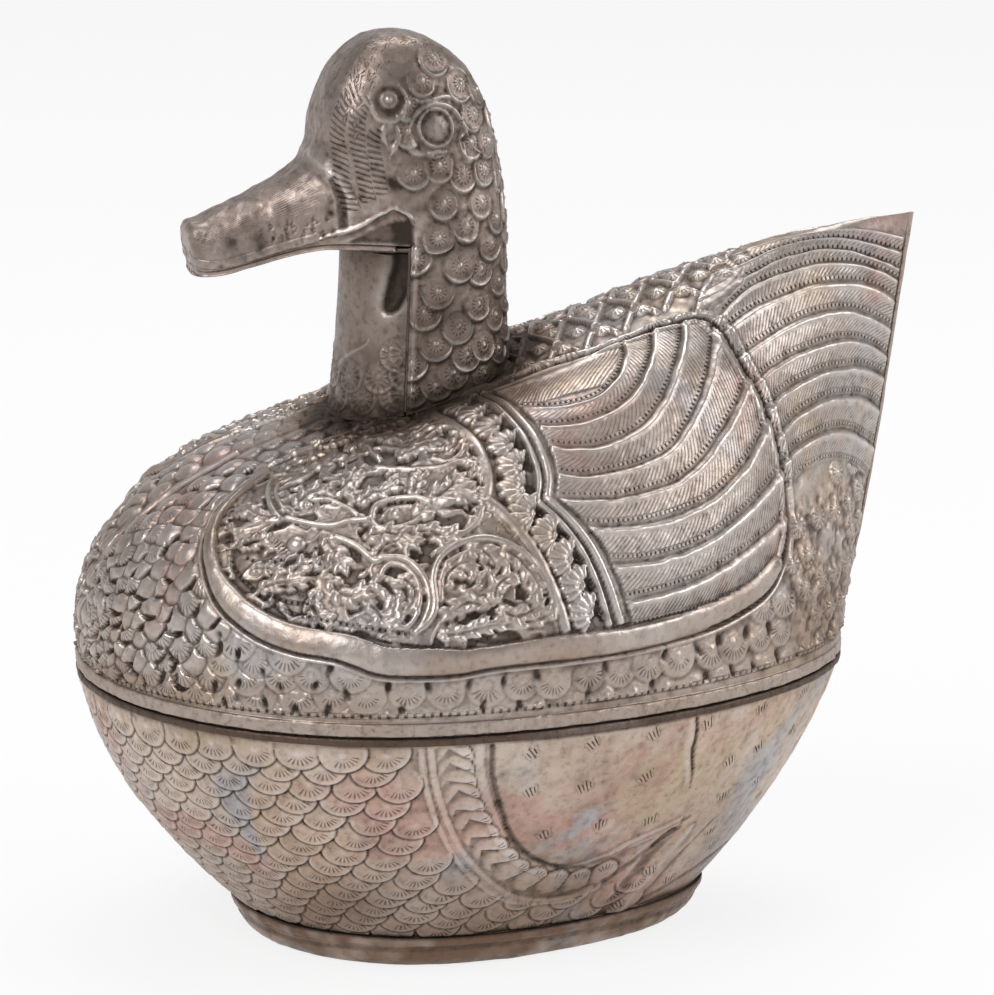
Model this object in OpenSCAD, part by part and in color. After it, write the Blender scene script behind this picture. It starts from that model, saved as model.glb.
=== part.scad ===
// Lidded paan box in the form of a duck, raised from silver sheet.
// The duck looks along -X, +Z is up, the near side is -Y.
// The origin is on the floor under the middle of the foot's crease line.

/* [Body] */
// Length of the mouth from breast to stern
mouth_len = 124; // [112:0.2:136]
// Width of the mouth at its widest
mouth_w = 95; // [84:0.5:106]
// How far ahead of the origin the breast end of the mouth lies
breast_x = 60; // [56:0.5:64]
// How far ahead of the origin the mouth is widest
widest_x = 13; // [8:0.5:18]
// Height of the bowl from the foot's crease to its mouth
bowl_h = 38; // [30:0.5:46]
// Height of the lid from its rim band to the tip of the tail
lid_h = 67.9; // [61:0.5:74]
// How far the tip of the tail hangs out past the mouth
tail_over = 11; // [6:0.2:15]
// How far the rear edge of the tail bows out below its middle
tail_bow = 1.6; // [0:0.2:3]
// Width over the two sheets at the rear edge of the tail
tail_w = 3; // [2.6:0.1:4]
// Height that the folded wings stand out from the flanks
wing_h = 2.4; // [0.8:0.2:3.2]
// Height of the plain border raised round the wing
border_h = 0.9; // [0.4:0.1:1.4]
// Height of the rounded feathers on wing and tail
feather_h = 0.9; // [0.4:0.1:1.3]

/* [Foot] */
// Height of the foot from the floor to the crease
foot_h = 5.6; // [4:0.2:8]
// Length of the bowl at the crease
crease_len = 76.8; // [68:0.2:84]
// Width of the bowl at the crease
crease_w = 56; // [48:0.5:62]
// How far ahead of the origin the crease is widest
crease_widest_x = 6; // [2:0.5:10]
// How far the foot's upper edge stands out past the crease
foot_out = 0.6; // [0.3:0.1:1.2]
// How far the foot draws in from its upper edge to the floor
foot_in = 4.2; // [2.5:0.1:5.5]

/* [Sheet and fit] */
// Thickness of the raised sheet
sheet = 0.9; // [0.7:0.05:1.2]
// Open line between the closed lid and the bearing wire
seam_gap = 0.3; // [0.3:0.05:0.6]
// Clearance all round between the lid and the collar inside it
fit_gap = 0.6; // [0.5:0.05:1]
// Height of the bearing wire on the mouth of the bowl
wire_h = 1.2; // [0.8:0.1:2]
// How far wire and rim band stand out past the sheet
rim_out = 0.5; // [0.2:0.05:0.9]
// Height of the plain band on the rim of the lid
band_h = 2.1; // [1.4:0.1:3.5]
// Height that the collar stands up above the bearing wire
collar_h = 5; // [3.5:0.1:7]
// How far the tail's edge strip laps over each sheet
strip_lap = 0.15; // [0.1:0.05:0.4]

/* [Neck] */
// Distance of the neck's middle from the origin, towards the breast
neck_x = 6.2; // [3:0.2:10]
// Length of the neck's section where it stands on the back
neck_foot_len = 28.6; // [25:0.2:31]
// Width of the neck's section where it stands on the back
neck_foot_w = 28.6; // [25:0.2:31]
// Length of the neck's section under the jaw
neck_len = 26.4; // [24:0.2:28]
// Width of the neck's section under the jaw
neck_w = 25.6; // [23:0.2:27]
// How far the neck leans back from its foot to the jaw
neck_lean = 0.4; // [0:0.1:2]
// Height of the jaw above the lid's rim band
jaw_h = 67; // [63:0.5:74]
// Half angle of the plain plate that closes the neck in front
throat_angle = 68; // [55:1:75]
// Open line between that plate and the neck
throat_gap = 0.25; // [0.15:0.05:0.5]
// Clearance of the solder line under neck and throat plate
seat_gap = 0.1; // [0.05:0.05:0.2]

/* [Head] */
// Height of the crown above the jaw
head_h = 32.2; // [28:0.2:36]
// Distance from the middle of the neck to the tip of the bill
bill_reach = 38.2; // [34:0.2:43]
// How far the bill's upper tip stands out past its lower edge
bill_lip = 0.8; // [0.2:0.1:1.6]
// Width of the bill behind its rounded tip
bill_w = 12.6; // [10:0.2:15]
// Drop of the bill's tip below the jaw
bill_drop = 3.8; // [1:0.2:6]
// Sag of the plate under the bill
floor_sag = 0.5; // [0.2:0.1:1.2]

/* [Hidden] */

silver = [0.72, 0.68, 0.65];
pale = [0.80, 0.77, 0.74];

mouth_z = foot_h + bowl_h;
band_z = mouth_z + seam_gap;
lid_z = band_z + band_h;
jaw_z = lid_z + jaw_h;
stern_x = mouth_len - breast_x;
crease_front = 0.453 * crease_len;
stern_round = 2 / 1.85;          // fullness of the mouth's stern
crease_round = 2 / 1.7;          // fullness of the crease's stern
collar_in = sheet + fit_gap;     // the collar's outer face, in from the mouth line

n_st = 52;                       // stations along lid and mouth
n_ring = 40;                     // steps of the rings along the mouth on one side
n_side = 36;                     // steps of the bowl on one side

// ---------- small helpers ----------
function soft(a, b, x) = let (t = min(max((x - a) / (b - a), 0), 1)) t * t * (3 - 2 * t);

// Smooth curve through the rows of a table, t from 0 to 1 over the rows
function along(tab, t) =
    let (n = len(tab) - 1,
         q = min(max(t, 0), 1) * n,
         i = min(floor(q), n - 1),
         f = q - i,
         b = tab[i],
         c = tab[i + 1],
         a = i > 0 ? tab[i - 1] : 2 * b - c,
         d = i + 2 <= n ? tab[i + 2] : 2 * c - b)
    0.5 * (2 * b + (c - a) * f + (2 * a - 5 * b + 4 * c - d) * f * f
           + (3 * b - a - 3 * c + d) * f * f * f);

function unit(v) = v / max(norm(v), 1e-9);

// Half of an egg-shaped outline: s from 0 at the breast to 1 at the stern, d is an inset
function egg(s, front, rear, wide, w, tail, d) =
    let (c = cos(180 * s), q = sin(180 * s))
    c > 0 ? [wide - (wide + front - d) * c, (w / 2 - d) * q]
          : [wide + (rear - d - wide) * pow(-c, tail), (w / 2 - d) * pow(q, tail)];

function mouth(s, d) = egg(s, breast_x, stern_x, -widest_x, mouth_w, stern_round, d);

// ---------- triangles between grids of points ----------
function tri(a, b, c) = a == b || b == c || a == c ? [] : [[a, b, c]];
function quad(a, b, c, d) = concat(tri(a, b, c), tri(a, c, d));
function turned(f) = [for (t = f) [t[2], t[1], t[0]]];

// Faces of a grid, where id gives the number of the point in row i, column j
function grid_faces(id, i0, i1, j0, j1) =
    [for (i = [i0:i1 - 1], j = [j0:j1 - 1])
        each quad(id(i, j), id(i, j + 1), id(i + 1, j + 1), id(i + 1, j))];

// Strip between a fine edge and one with a half, or a given part, as many steps
function rim_faces(fine, few, by = 2) =
    [for (k = [0:len(few) - 2])
        each concat([for (m = [0:by / 2 - 1]) each tri(few[k], fine[by * k + m], fine[by * k + m + 1])],
                    tri(few[k], fine[by * k + by / 2], few[k + 1]),
                    [for (m = [by / 2:by - 1])
                        each tri(few[k + 1], fine[by * k + m], fine[by * k + m + 1])])];

// Closed plate from two equal grids, lists of rows; a is the outer one
module plate(a, b) {
    n = len(a) - 1;
    m = len(a[0]) - 1;
    w = m + 1;
    off = (n + 1) * w;
    top = function (i, j) i * w + j;
    low = function (i, j) off + i * w + j;
    edge = concat([for (i = [0:n - 1]) [i, 0]], [for (j = [0:m - 1]) [n, j]],
                  [for (i = [n:-1:1]) [i, m]], [for (j = [m:-1:1]) [0, j]]);
    polyhedron(
        points = concat([for (r = a) each r], [for (r = b) each r]),
        faces = concat(
            grid_faces(top, 0, n, 0, m),
            turned(grid_faces(low, 0, n, 0, m)),
            [for (k = [0:len(edge) - 1])
                let (p = edge[k], q = edge[(k + 1) % len(edge)])
                each quad(top(p[0], p[1]), top(q[0], q[1]), low(q[0], q[1]), low(p[0], p[1]))]));
}

// ---------- base ----------
// Plan of the bowl's wall, r from 0 at the crease to 1 at the mouth
function bowl_point(r, k, d) =
    let (s = k <= n_side ? k / n_side : 2 - k / n_side,
         g = 0.45 * pow(sin(90 * r), 0.9) + 0.55 * r,
         front = crease_front + (breast_x - crease_front) * (g + 0.07 * sin(180 * r)),
         rear0 = crease_len - crease_front,
         rear = rear0 + (stern_x - rear0) * (g + 0.02 * sin(180 * r)),
         w = crease_w + (mouth_w - crease_w) * g,
         wide = -crease_widest_x + (crease_widest_x - widest_x) * r,
         p = egg(s, front, rear, wide, w, crease_round + (stern_round - crease_round) * r, d))
    [p[0], k <= n_side ? -p[1] : p[1], foot_h + (bowl_h - wire_h) * r];

// Plan of the foot, r from 0 on the floor to 1 at the crease
function foot_point(r, k, d, z0) =
    let (s = k <= n_side ? k / n_side : 2 - k / n_side,
         g = 0.75 * sqrt(max(1 - (1 - r) * (1 - r), 0)) + 0.25 * r,
         in = foot_in * (1 - g) - foot_out,
         p = egg(s, crease_front - in, crease_len - crease_front - in, -crease_widest_x,
                 crease_w - 2 * in, crease_round, d))
    [p[0], k <= n_side ? -p[1] : p[1], z0 + (foot_h - z0) * r];

// Shell from two ring grids, the inner one with half the steps; floors close the bottom
module ring_shell(a, b, floors) {
    n = len(a) - 1;
    m = len(a[0]);
    h = m / 2;
    nb = len(b) - 1;
    off = (n + 1) * m;
    end = off + (nb + 1) * h;
    out = function (i, j) i * m + j % m;
    inn = function (i, j) off + i * h + j % h;
    polyhedron(
        points = concat([for (r = a) each r], [for (r = b) each r],
                        [[0, 0, a[0][0][2]], [0, 0, b[0][0][2]]]),
        faces = concat(
            turned(grid_faces(out, 0, n, 0, m)),
            grid_faces(inn, 0, nb, 0, h),
            rim_faces([for (j = [0:m]) out(n, m - j)], [for (j = [0:h]) inn(nb, h - j)]),
            floors
                ? concat([for (j = [0:m - 1]) [out(0, j), out(0, j + 1), end]],
                         [for (j = [0:h - 1]) [inn(0, j + 1), inn(0, j), end + 1]])
                : rim_faces([for (j = [0:m]) out(0, j)], [for (j = [0:h]) inn(0, j)])));
}

module bowl() {
    rows = 8;
    m = 2 * n_side;
    color(silver)
        ring_shell([for (i = [0:rows]) [for (k = [0:m - 1]) bowl_point(i / rows, k, 0)]],
                   [for (i = [0:rows / 2]) let (r = 2 * i / rows)
                       [for (k = [0:2:m - 1]) bowl_point(r, k, sheet * (1.35 - 0.35 * r))]],
                   false);
}

module foot_pan() {
    rows = 4;
    m = 2 * n_side;
    color(silver)
        ring_shell([for (i = [0:rows]) [for (k = [0:m - 1]) foot_point(i / rows, k, 0, 0)]],
                   [for (i = [0:rows / 2]) let (r = 2 * i / rows)
                       [for (k = [0:2:m - 1]) foot_point(r, k, sheet + foot_out * r, sheet)]],
                   true);
}

// Flat ring along the mouth, between two insets of its line
module mouth_ring(d_out, d_in, z0, h) {
    far = function (d) [for (i = [n_ring - 1:-1:1]) mouth(i / n_ring, d)];
    near = function (d) [for (i = [0:n_ring]) let (p = mouth(i / n_ring, d)) [p[0], -p[1]]];
    translate([0, 0, z0])
        linear_extrude(h)
            difference() {
                polygon(concat(near(d_out), far(d_out)));
                polygon(concat(near(d_in), far(d_in)));
            }
}

module base_rim_wire() {
    color(pale)
        mouth_ring(-rim_out, collar_in, mouth_z - wire_h, wire_h);
}

module inner_collar() {
    color(pale)
        mouth_ring(collar_in, collar_in + sheet, mouth_z - wire_h, wire_h + collar_h);
}

module lid_rim_band() {
    color(pale)
        mouth_ring(-rim_out, sheet, band_z, band_h);
}

// ---------- lid ----------
// Ridge line from the breast over the back to the tail: share of the mouth's
// length from breast to stern, and share of the lid's height
ridge = [[0, 0], [0.002, 0.14], [0.029, 0.265], [0.08, 0.356], [0.144, 0.43], [0.213, 0.49],
         [0.285, 0.538], [0.361, 0.588], [0.441, 0.648], [0.518, 0.686], [0.59, 0.736],
         [0.666, 0.792], [0.746, 0.854], [0.831, 0.904], [0.915, 0.947], [1, 0.981], [1, 1]];
// Flatness of the sections along the lid: 1 is an ellipse, less is fuller
section_form = [1, 0.8, 0.77, 0.9, 0.92, 0.92, 0.98, 1.05, 1.15];

ridge_rows = len(ridge) - 1;
ridge_line = [for (i = [0:ridge_rows]) let (p = ridge[i])
    i == ridge_rows ? [stern_x + tail_over, lid_h] : [p[0] * mouth_len - breast_x, p[1] * lid_h]];

function ridge_point(s, d) =
    let (p = along(ridge_line, s),
         t = unit(along(ridge_line, min(s + 0.004, 1)) - along(ridge_line, max(s - 0.004, 0))))
    [p[0] + t[1] * d, p[1] - t[0] * d];

// Lid without the wings; v is -1 on the near rim, 0 on the ridge, 1 on the far rim
function lid_plain(s, v, d) =
    let (e = mouth(s, d),
         half = e[1] + (tail_w / 2 - d) * pow(s, 6),
         t = ridge_point(s, d),
         c = max(sin(90 * abs(v)), 0),
         z = cos(90 * abs(v)),
         y = v == 0 ? 0 : half * pow(c, along(section_form, s)),
         x = e[0] + (t[0] - e[0]) * z + tail_bow * pow(s, 3) * sin(180 * z) * (1 - z))
    [x, v < 0 ? -y : y, lid_z + t[1] * z];

// Share of the wing's height at a place on the lid
function wing_share(s, v) =
    let (q = pow(abs(s - 0.505) / 0.315, 2.4) + pow(abs(abs(v) - 0.56) / 0.36, 2.4))
    (1 - soft(0.55, 1.25, q)) * soft(0.08, 0.42, abs(v));

function lid_out(s, v, d, h) =
    h == 0 ? lid_plain(s, v, d)
           : let (e = 0.001,
                  a = lid_plain(s + e, v, d) - lid_plain(s - e, v, d),
                  b = lid_plain(s, v + e, d) - lid_plain(s, v - e, d))
             lid_plain(s, v, d) + unit(cross(a, b)) * h;

function lid_point(s, v, d) = lid_out(s, v, d, wing_h * wing_share(s, v));

// Lines between the feathers from the ridge down to the rim: station, then the v of each.
// The fourth is the wing's upper border, the thirteenth and fourteenth its lower border.
lines = [
    [0, [0, 0.07, 0.14, 0.205, 0.275, 0.345, 0.415, 0.485,
         0.55, 0.615, 0.68, 0.745, 0.8, 0.88, 1]],
    [0.24, [0, 0.07, 0.14, 0.205, 0.275, 0.345, 0.415, 0.485,
         0.55, 0.615, 0.68, 0.745, 0.8, 0.88, 1]],
    [0.32, [0, 0.055, 0.107, 0.158, 0.22, 0.282, 0.345, 0.407,
         0.469, 0.532, 0.594, 0.657, 0.719, 0.796, 1]],
    [0.42, [0, 0.05, 0.097, 0.143, 0.215, 0.288, 0.36, 0.433,
         0.505, 0.578, 0.65, 0.723, 0.795, 0.874, 1]],
    [0.52, [0, 0.061, 0.119, 0.175, 0.262, 0.336, 0.405, 0.478,
         0.546, 0.617, 0.695, 0.771, 0.836, 0.89, 1]],
    [0.57, [0, 0.06, 0.116, 0.171, 0.301, 0.368, 0.428, 0.5,
         0.555, 0.62, 0.708, 0.791, 0.838, 0.889, 1]],
    [0.61, [0, 0.061, 0.119, 0.175, 0.345, 0.399, 0.458, 0.524,
         0.576, 0.631, 0.708, 0.791, 0.839, 0.888, 1]],
    [0.65, [0, 0.07, 0.135, 0.199, 0.352, 0.404, 0.472, 0.539,
         0.595, 0.654, 0.726, 0.793, 0.839, 0.888, 1]],
    [0.69, [0, 0.076, 0.147, 0.216, 0.228, 0.358, 0.447, 0.533,
         0.598, 0.661, 0.729, 0.791, 0.837, 0.887, 1]],
    [0.73, [0, 0.082, 0.159, 0.233, 0.245, 0.257, 0.349, 0.476,
         0.569, 0.65, 0.715, 0.778, 0.833, 0.88, 1]],
    [0.765, [0, 0.09, 0.175, 0.257, 0.269, 0.281, 0.293, 0.367,
         0.515, 0.616, 0.694, 0.762, 0.82, 0.865, 1]],
    [0.79, [0, 0.085, 0.16, 0.235, 0.285, 0.345, 0.405, 0.465,
         0.53, 0.6, 0.665, 0.735, 0.795, 0.85, 1]],
    [0.82, [0, 0.12, 0.188, 0.235, 0.304, 0.394, 0.464, 0.528,
         0.591, 0.644, 0.696, 0.766, 0.826, 0.886, 1]],
    [0.86, [0, 0.105, 0.169, 0.225, 0.298, 0.383, 0.456, 0.516,
         0.575, 0.633, 0.684, 0.754, 0.814, 0.874, 1]],
    [0.91, [0, 0.126, 0.186, 0.245, 0.311, 0.391, 0.465, 0.525,
         0.581, 0.643, 0.701, 0.771, 0.831, 0.891, 1]],
    [0.955, [0, 0.201, 0.258, 0.295, 0.352, 0.429, 0.494, 0.547,
         0.605, 0.675, 0.735, 0.805, 0.865, 0.925, 1]],
    [1, [0, 0.279, 0.334, 0.368, 0.419, 0.485, 0.546, 0.584,
         0.645, 0.711, 0.771, 0.841, 0.89, 0.93, 1]]
];
// Ends of the feathered part of the wing, and of its raised border in front: v, then
// the station where it begins and where it ends
feathered = [[0, 0.53, 0.75], [0.17, 0.535, 0.75], [0.26, 0.55, 0.76], [0.33, 0.56, 0.775],
             [0.46, 0.574, 0.785], [0.55, 0.572, 0.795], [0.67, 0.604, 0.805],
             [0.78, 0.618, 0.8], [0.84, 0.626, 0.78], [1, 0.63, 0.75]];
front_border = [[0.16, 0.3, 0.318], [0.2, 0.282, 0.295], [0.263, 0.252, 0.27], [0.362, 0.241, 0.256],
                [0.47, 0.237, 0.253], [0.58, 0.243, 0.264], [0.66, 0.2545, 0.285],
                [0.72, 0.273, 0.32], [0.775, 0.3, 0.36], [0.81, 0.333, 0.4]];

// Row of a table at a value of its first column, between its rows by straight lines
function row_at(tab, x, i = 0) =
    i >= len(tab) - 2 || x <= tab[i + 1][0]
        ? let (a = tab[i], b = tab[i + 1], f = min(max((x - a[0]) / (b[0] - a[0]), 0), 1))
          a * (1 - f) + b * f
        : row_at(tab, x, i + 1);

n_half = 28;                     // steps of one lid section, ridge to rim
front_st = concat([for (i = [0:11]) i / 50], [0.231, 0.237, 0.245, 0.253, 0.262, 0.275, 0.29, 0.305, 0.32]);
stations = concat(front_st, [for (i = [0:n_st - len(front_st)]) 0.34 + 0.66 * i / (n_st - len(front_st))]);
line_rows = [for (s = stations)
    let (i = max([for (k = [0:len(lines) - 2]) s >= lines[k][0] ? k : 0]),
         f = (s - lines[i][0]) / (lines[i + 1][0] - lines[i][0]))
    lines[i][1] * (1 - f) + lines[i + 1][1] * f];

// v of the m-th line of points at station i: even m lie between feathers, odd m on them
function line_v(i, m) =
    let (c = line_rows[i], k = floor(m / 2))
    m % 2 == 0 ? c[k] : c[k] + 0.42 * (c[k + 1] - c[k]);

// Height of border and feathers there
function relief(i, m) =
    let (s = stations[i],
         v = line_v(i, m),
         c = line_rows[i],
         k = floor(m / 2),
         on = m % 2 == 1,
         wing = row_at(feathered, v),
         edge = row_at(front_border, v),
         t = (s - edge[1]) / (edge[2] - edge[1]),
         crown = v < 0.16 || v > 0.81 || t <= 0 || t >= 1 ? 0 : pow(sin(180 * t), 0.6),
         low = m == 25 ? soft(0.3, 0.36, s) * (1 - soft(0.72, 0.79, s)) : 0,
         wide = on ? soft(0.012, 0.05, c[k + 1] - c[k]) : 1,
         plume = m < 7 || m > 23 ? 0 : soft(wing[1] - 0.005, wing[1] + 0.02, s)
                                       * (1 - soft(wing[2] - 0.03, wing[2], s)),
         tail = m > 20 ? 0 : soft(0.8, 0.835, s) * (1 - soft(0.965, 1, s)))
    max(border_h * max(crown, low), (plume + tail) * (on ? 0.8 * wide * feather_h : -0.15 * feather_h));

module lid_shell() {
    cols = 2 * n_half;
    w = cols + 1;
    hw = cols / 4 + 1;
    off = (n_st + 1) * w;
    out = function (i, j) i * w + (i == 0 ? 0 : j);
    inn = function (i, j) off + i * hw + (i == 0 ? 0 : j);
    a = [for (i = [0:n_st], j = [0:cols])
            let (m = abs(j - n_half), s = stations[i], v = sign(j - n_half) * line_v(i, m))
            lid_out(s, v, 0, wing_h * wing_share(s, v) + (i == n_st ? 0 : relief(i, m)))];
    b = [for (i = [0:2:n_st], j = [0:4:cols])
            let (p = lid_point(stations[i], sign(j - n_half) * line_v(i, abs(j - n_half)), sheet))
            i == n_st ? let (q = a[out(i, j)]) [q[0] - 0.3 * (q[2] - p[2]), p[1], p[2]] : p];
    h = n_st / 2;
    color(silver)
        polyhedron(
            points = concat(a, b),
            faces = concat(
                grid_faces(out, 0, n_st, 0, cols),
                turned(grid_faces(inn, 0, h, 0, cols / 4)),
                rim_faces([for (i = [0:n_st]) out(i, 0)], [for (i = [0:h]) inn(i, 0)]),
                rim_faces([for (j = [0:cols]) out(n_st, j)], [for (j = [0:cols / 4]) inn(h, j)], 4),
                rim_faces([for (i = [n_st:-1:0]) out(i, cols)],
                          [for (i = [h:-1:0]) inn(i, cols / 4)])));
}

// Strip that closes the two sheets along the rear edge of the tail
module tail_edge_strip() {
    steps = n_half;
    form = [[0, 1], [0.55, 1], [0.85, 0.45], [0.85, -0.45], [0.55, -1], [0, -1]];
    m = len(form);
    pts = [for (k = [0:steps], f = form)
        let (p = lid_plain(1, -line_v(n_st, steps - k), 0))
        [p[0] + f[0] * sheet, f[1] * (abs(p[1]) + strip_lap), p[2]]];
    id = function (i, j) i * m + j % m;
    color(pale)
        polyhedron(
            points = pts,
            faces = concat(
                grid_faces(id, 0, steps, 0, m),
                [for (j = [1:m - 2]) [id(0, 0), id(0, j + 1), id(0, j)]],
                [for (j = [1:m - 2]) [id(steps, 0), id(steps, j), id(steps, j + 1)]]));
}

// ---------- neck and head ----------
// Place on the lid straight under x, y, found by stepping towards it
function lid_under(x, y, s, v, n) =
    let (p = lid_point(s, v, 0), e = 0.002,
         a = (lid_point(s + e, v, 0) - p) / e,
         b = (lid_point(s, v + e, 0) - p) / e,
         dx = x - p[0],
         dy = y - p[1],
         det = a[0] * b[1] - a[1] * b[0])
    n == 0 ? p[2]
           : lid_under(x, y, s + (dx * b[1] - dy * b[0]) / det, v + (dy * a[0] - dx * a[1]) / det,
                       n - 1);

// Half axes of the neck's section from its foot to the jaw
function neck_half(h, d) =
    let (flare = pow(1 - h, 2))
    [(neck_len + (neck_foot_len - neck_len) * flare) / 2 - d,
     (neck_w + (neck_foot_w - neck_w) * flare) / 2 - d];

// Point of the neck: h from 0 at the foot to 1 at the jaw, a from 0 in front to 180 behind
function neck_point(h, a, side, z0, z1, d) =
    let (r = neck_half(h, d), p = [-neck_x + neck_lean * h - r[0] * cos(a), side * r[1] * sin(a)])
    [p[0], p[1], z0 + (z1 - z0) * h];

function neck_foot_z(a, side) =
    let (p = neck_point(0, a, side, 0, 0, sheet / 2))
    seat_gap + lid_under(p[0], p[1], 0.46, side * 0.15, 6);

// Edge of the upper bill from its tip to the corner of the jaw: share of the reach
// ahead of the neck's middle, share of the bill's width, share of the drop
bill_edge = [[1, 0, 1], [0.99, 0.37, 1.1], [0.9, 0.5, 1], [0.777, 0.53, 0.7], [0.648, 0.56, 0.34],
             [0.532, 0.63, 0.06], [0.415, 0.725, -0.05], [0, 0, 0]];
// Line over bill, forehead, crown and nape: distance ahead of the neck's middle as a share
// of the bill's reach, from the forehead on of the neck's length, and height above the
// jaw as a share of the head's height
crown = [[1, 0], [1.01, 0.09], [0.929, 0.13], [0.776, 0.208], [0.622, 0.3], [0.727, 0.416],
         [0.682, 0.6], [0.595, 0.795], [0.409, 0.957], [0.155, 1], [-0.114, 0.913],
         [-0.318, 0.702], [-0.439, 0.37], [0, 0]];
// Flatness of the head's sections from the bill's tip to the nape
head_form = [1, 0.6, 0.6, 0.65, 0.7, 0.6, 0.5, 0.5, 0.5, 0.5, 0.5, 0.55, 0.7, 1];

jaw_share = 0.45;                // share of the stations that lie ahead of the jaw's corner
n_head = 40;                     // stations of the head
n_jaw = jaw_share * n_head;
n_over = 20;                     // steps of one head section, edge to edge
n_down = 6;                      // steps down the neck
bill_top = 4;                    // rows of the crown line that belong to the bill

head_x = neck_lean - neck_x;     // middle of the neck under the jaw
jaw_corner = neck_point(1, throat_angle, 1, jaw_z, jaw_z, 0);
edge_rows = len(bill_edge) - 1;
edge_line = [for (i = [0:edge_rows]) let (p = bill_edge[i])
    i == edge_rows ? jaw_corner
                   : [head_x - p[0] * (bill_reach - bill_lip), p[1] * bill_w,
                      jaw_z - p[2] * bill_drop]];
crown_rows = len(crown) - 1;
nape_x = head_x + neck_half(1, 0)[0];
crown_line = [for (i = [0:crown_rows]) let (p = crown[i])
    i == crown_rows ? [nape_x, jaw_z]
    : i == 0 ? [edge_line[0][0], edge_line[0][2]]
    : i <= bill_top ? [head_x - p[0] * bill_reach, jaw_z + p[1] * head_h
                       - bill_drop * (bill_top - i) / bill_top * 0.25]
    : [head_x - p[0] * neck_len, jaw_z + p[1] * head_h]];

function jaw_angle(s) = throat_angle + (180 - throat_angle) * (s - jaw_share) / (1 - jaw_share);

function head_edge(s, d) =
    s >= jaw_share
        ? neck_point(1, jaw_angle(s), 1, jaw_z, jaw_z, d)
        : let (p = along(edge_line, s / jaw_share), q = max(1 - s / 0.08, 0))
          [p[0] + d * q, p[1] - d * min(p[1] / 3, 1), p[2]];

function crown_point(s, d) =
    let (p = along(crown_line, s),
         t = unit(along(crown_line, min(s + 0.004, 1)) - along(crown_line, max(s - 0.004, 0))))
    [p[0] + t[1] * d, p[1] - t[0] * d];

function head_point(s, v, d) =
    let (e = head_edge(s, d),
         t = crown_point(s, d),
         z = cos(90 * abs(v)),
         y = v == 0 ? 0 : e[1] * pow(max(sin(90 * abs(v)), 0), along(head_form, s)))
    [e[0] + (t[0] - e[0]) * z, v < 0 ? -y : y, e[2] + (t[1] - e[2]) * z];

// Numbers of the points of one skin of head and neck, with st steps between columns
function head_ids(off, st) =
    let (w = n_over / st + 1,
         nh = n_head / st,
         nj = n_jaw / st,
         nd = n_down / st,
         neck_off = off + (nh + 1) * w,
         side_len = (nh - nj + 1) * nd)
    [function (i, j) off + i * w + (i == 0 || i == nh ? 0 : j),
     function (i, k, side)
         k == 0 ? off + i * w + (i == nh ? 0 : side < 0 ? 0 : w - 1)
                : neck_off + (side > 0 && i < nh ? side_len : 0) + (i - nj) * nd + k - 1];

function head_skin(st, d) =
    let (feet = [for (i = [n_jaw:st:n_head]) neck_foot_z(jaw_angle(i / n_head), -1)])
    concat(
        [for (i = [0:st:n_head], j = [0:st:n_over]) head_point(i / n_head, 2 * j / n_over - 1, d)],
        [for (side = [-1, 1], i = [n_jaw:st:n_head], k = [st:st:n_down])
            neck_point(1 - k / n_down, jaw_angle(i / n_head), side,
                       feet[(i - n_jaw) / st], jaw_z, d)]);

module head_neck_shell() {
    a = head_skin(1, 0);
    b = head_skin(2, sheet);
    o = head_ids(0, 1);
    q = head_ids(len(a), 2);
    skin = function (id, st)
        let (nh = n_head / st, nj = n_jaw / st, nd = n_down / st)
        concat(grid_faces(id[0], 0, nh, 0, n_over / st),
               grid_faces(function (i, k) id[1](i, k, 1), nj, nh, 0, nd),
               turned(grid_faces(function (i, k) id[1](i, k, -1), nj, nh, 0, nd)));
    edge = function (id, st)
        let (nh = n_head / st, nj = n_jaw / st, nd = n_down / st, nv = n_over / st)
        concat([for (i = [0:nj]) id[0](i, 0)],
               [for (k = [1:nd]) id[1](nj, k, -1)],
               [for (i = [nj + 1:nh]) id[1](i, nd, -1)],
               [for (i = [nh - 1:-1:nj]) id[1](i, nd, 1)],
               [for (k = [nd - 1:-1:1]) id[1](nj, k, 1)],
               [for (i = [nj:-1:0]) id[0](i, nv)]);
    color(silver)
        polyhedron(points = concat(a, b),
                   faces = concat(skin(o, 1), turned(skin(q, 2)), rim_faces(edge(o, 1), edge(q, 2))));
}

// Plain plate that closes the front of the neck under the chin
module throat_plate() {
    half = throat_angle - throat_gap / neck_w * 114.6;
    cols = 12;
    rows = 6;
    top = jaw_z - sheet - floor_sag - seat_gap;
    skin = function (d) [for (i = [0:rows]) [for (j = [0:cols])
        let (a = half * abs(2 * j / cols - 1), side = j < cols / 2 ? 1 : -1)
        neck_point(1 - i / rows, a, side, neck_foot_z(a, side), top, d)]];
    color(silver)
        plate(skin(0), skin(sheet));
}

// Plate under the bill that reaches back over the throat plate
module bill_floor() {
    rows = 10;
    cols = 6;
    skin = function (drop, sag) [for (i = [0:rows])
        let (e = head_edge(jaw_share * (0.04 + 0.93 * i / rows), 0))
        [for (j = [0:cols])
            let (v = 2 * j / cols - 1)
            [e[0], e[1] * v, e[2] - drop - sag * (1 - v * v)]]];
    color(silver)
        plate(skin(seat_gap / 2, 0), skin(sheet, floor_sag));
}

bowl();
foot_pan();
base_rim_wire();
inner_collar();
lid_shell();
lid_rim_band();
head_neck_shell();
throat_plate();
bill_floor();
tail_edge_strip();
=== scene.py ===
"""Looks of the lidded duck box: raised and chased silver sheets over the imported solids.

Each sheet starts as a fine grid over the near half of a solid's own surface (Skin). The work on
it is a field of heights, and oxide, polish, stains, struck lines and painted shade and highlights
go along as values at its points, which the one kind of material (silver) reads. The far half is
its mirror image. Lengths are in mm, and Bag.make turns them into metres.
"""

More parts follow.
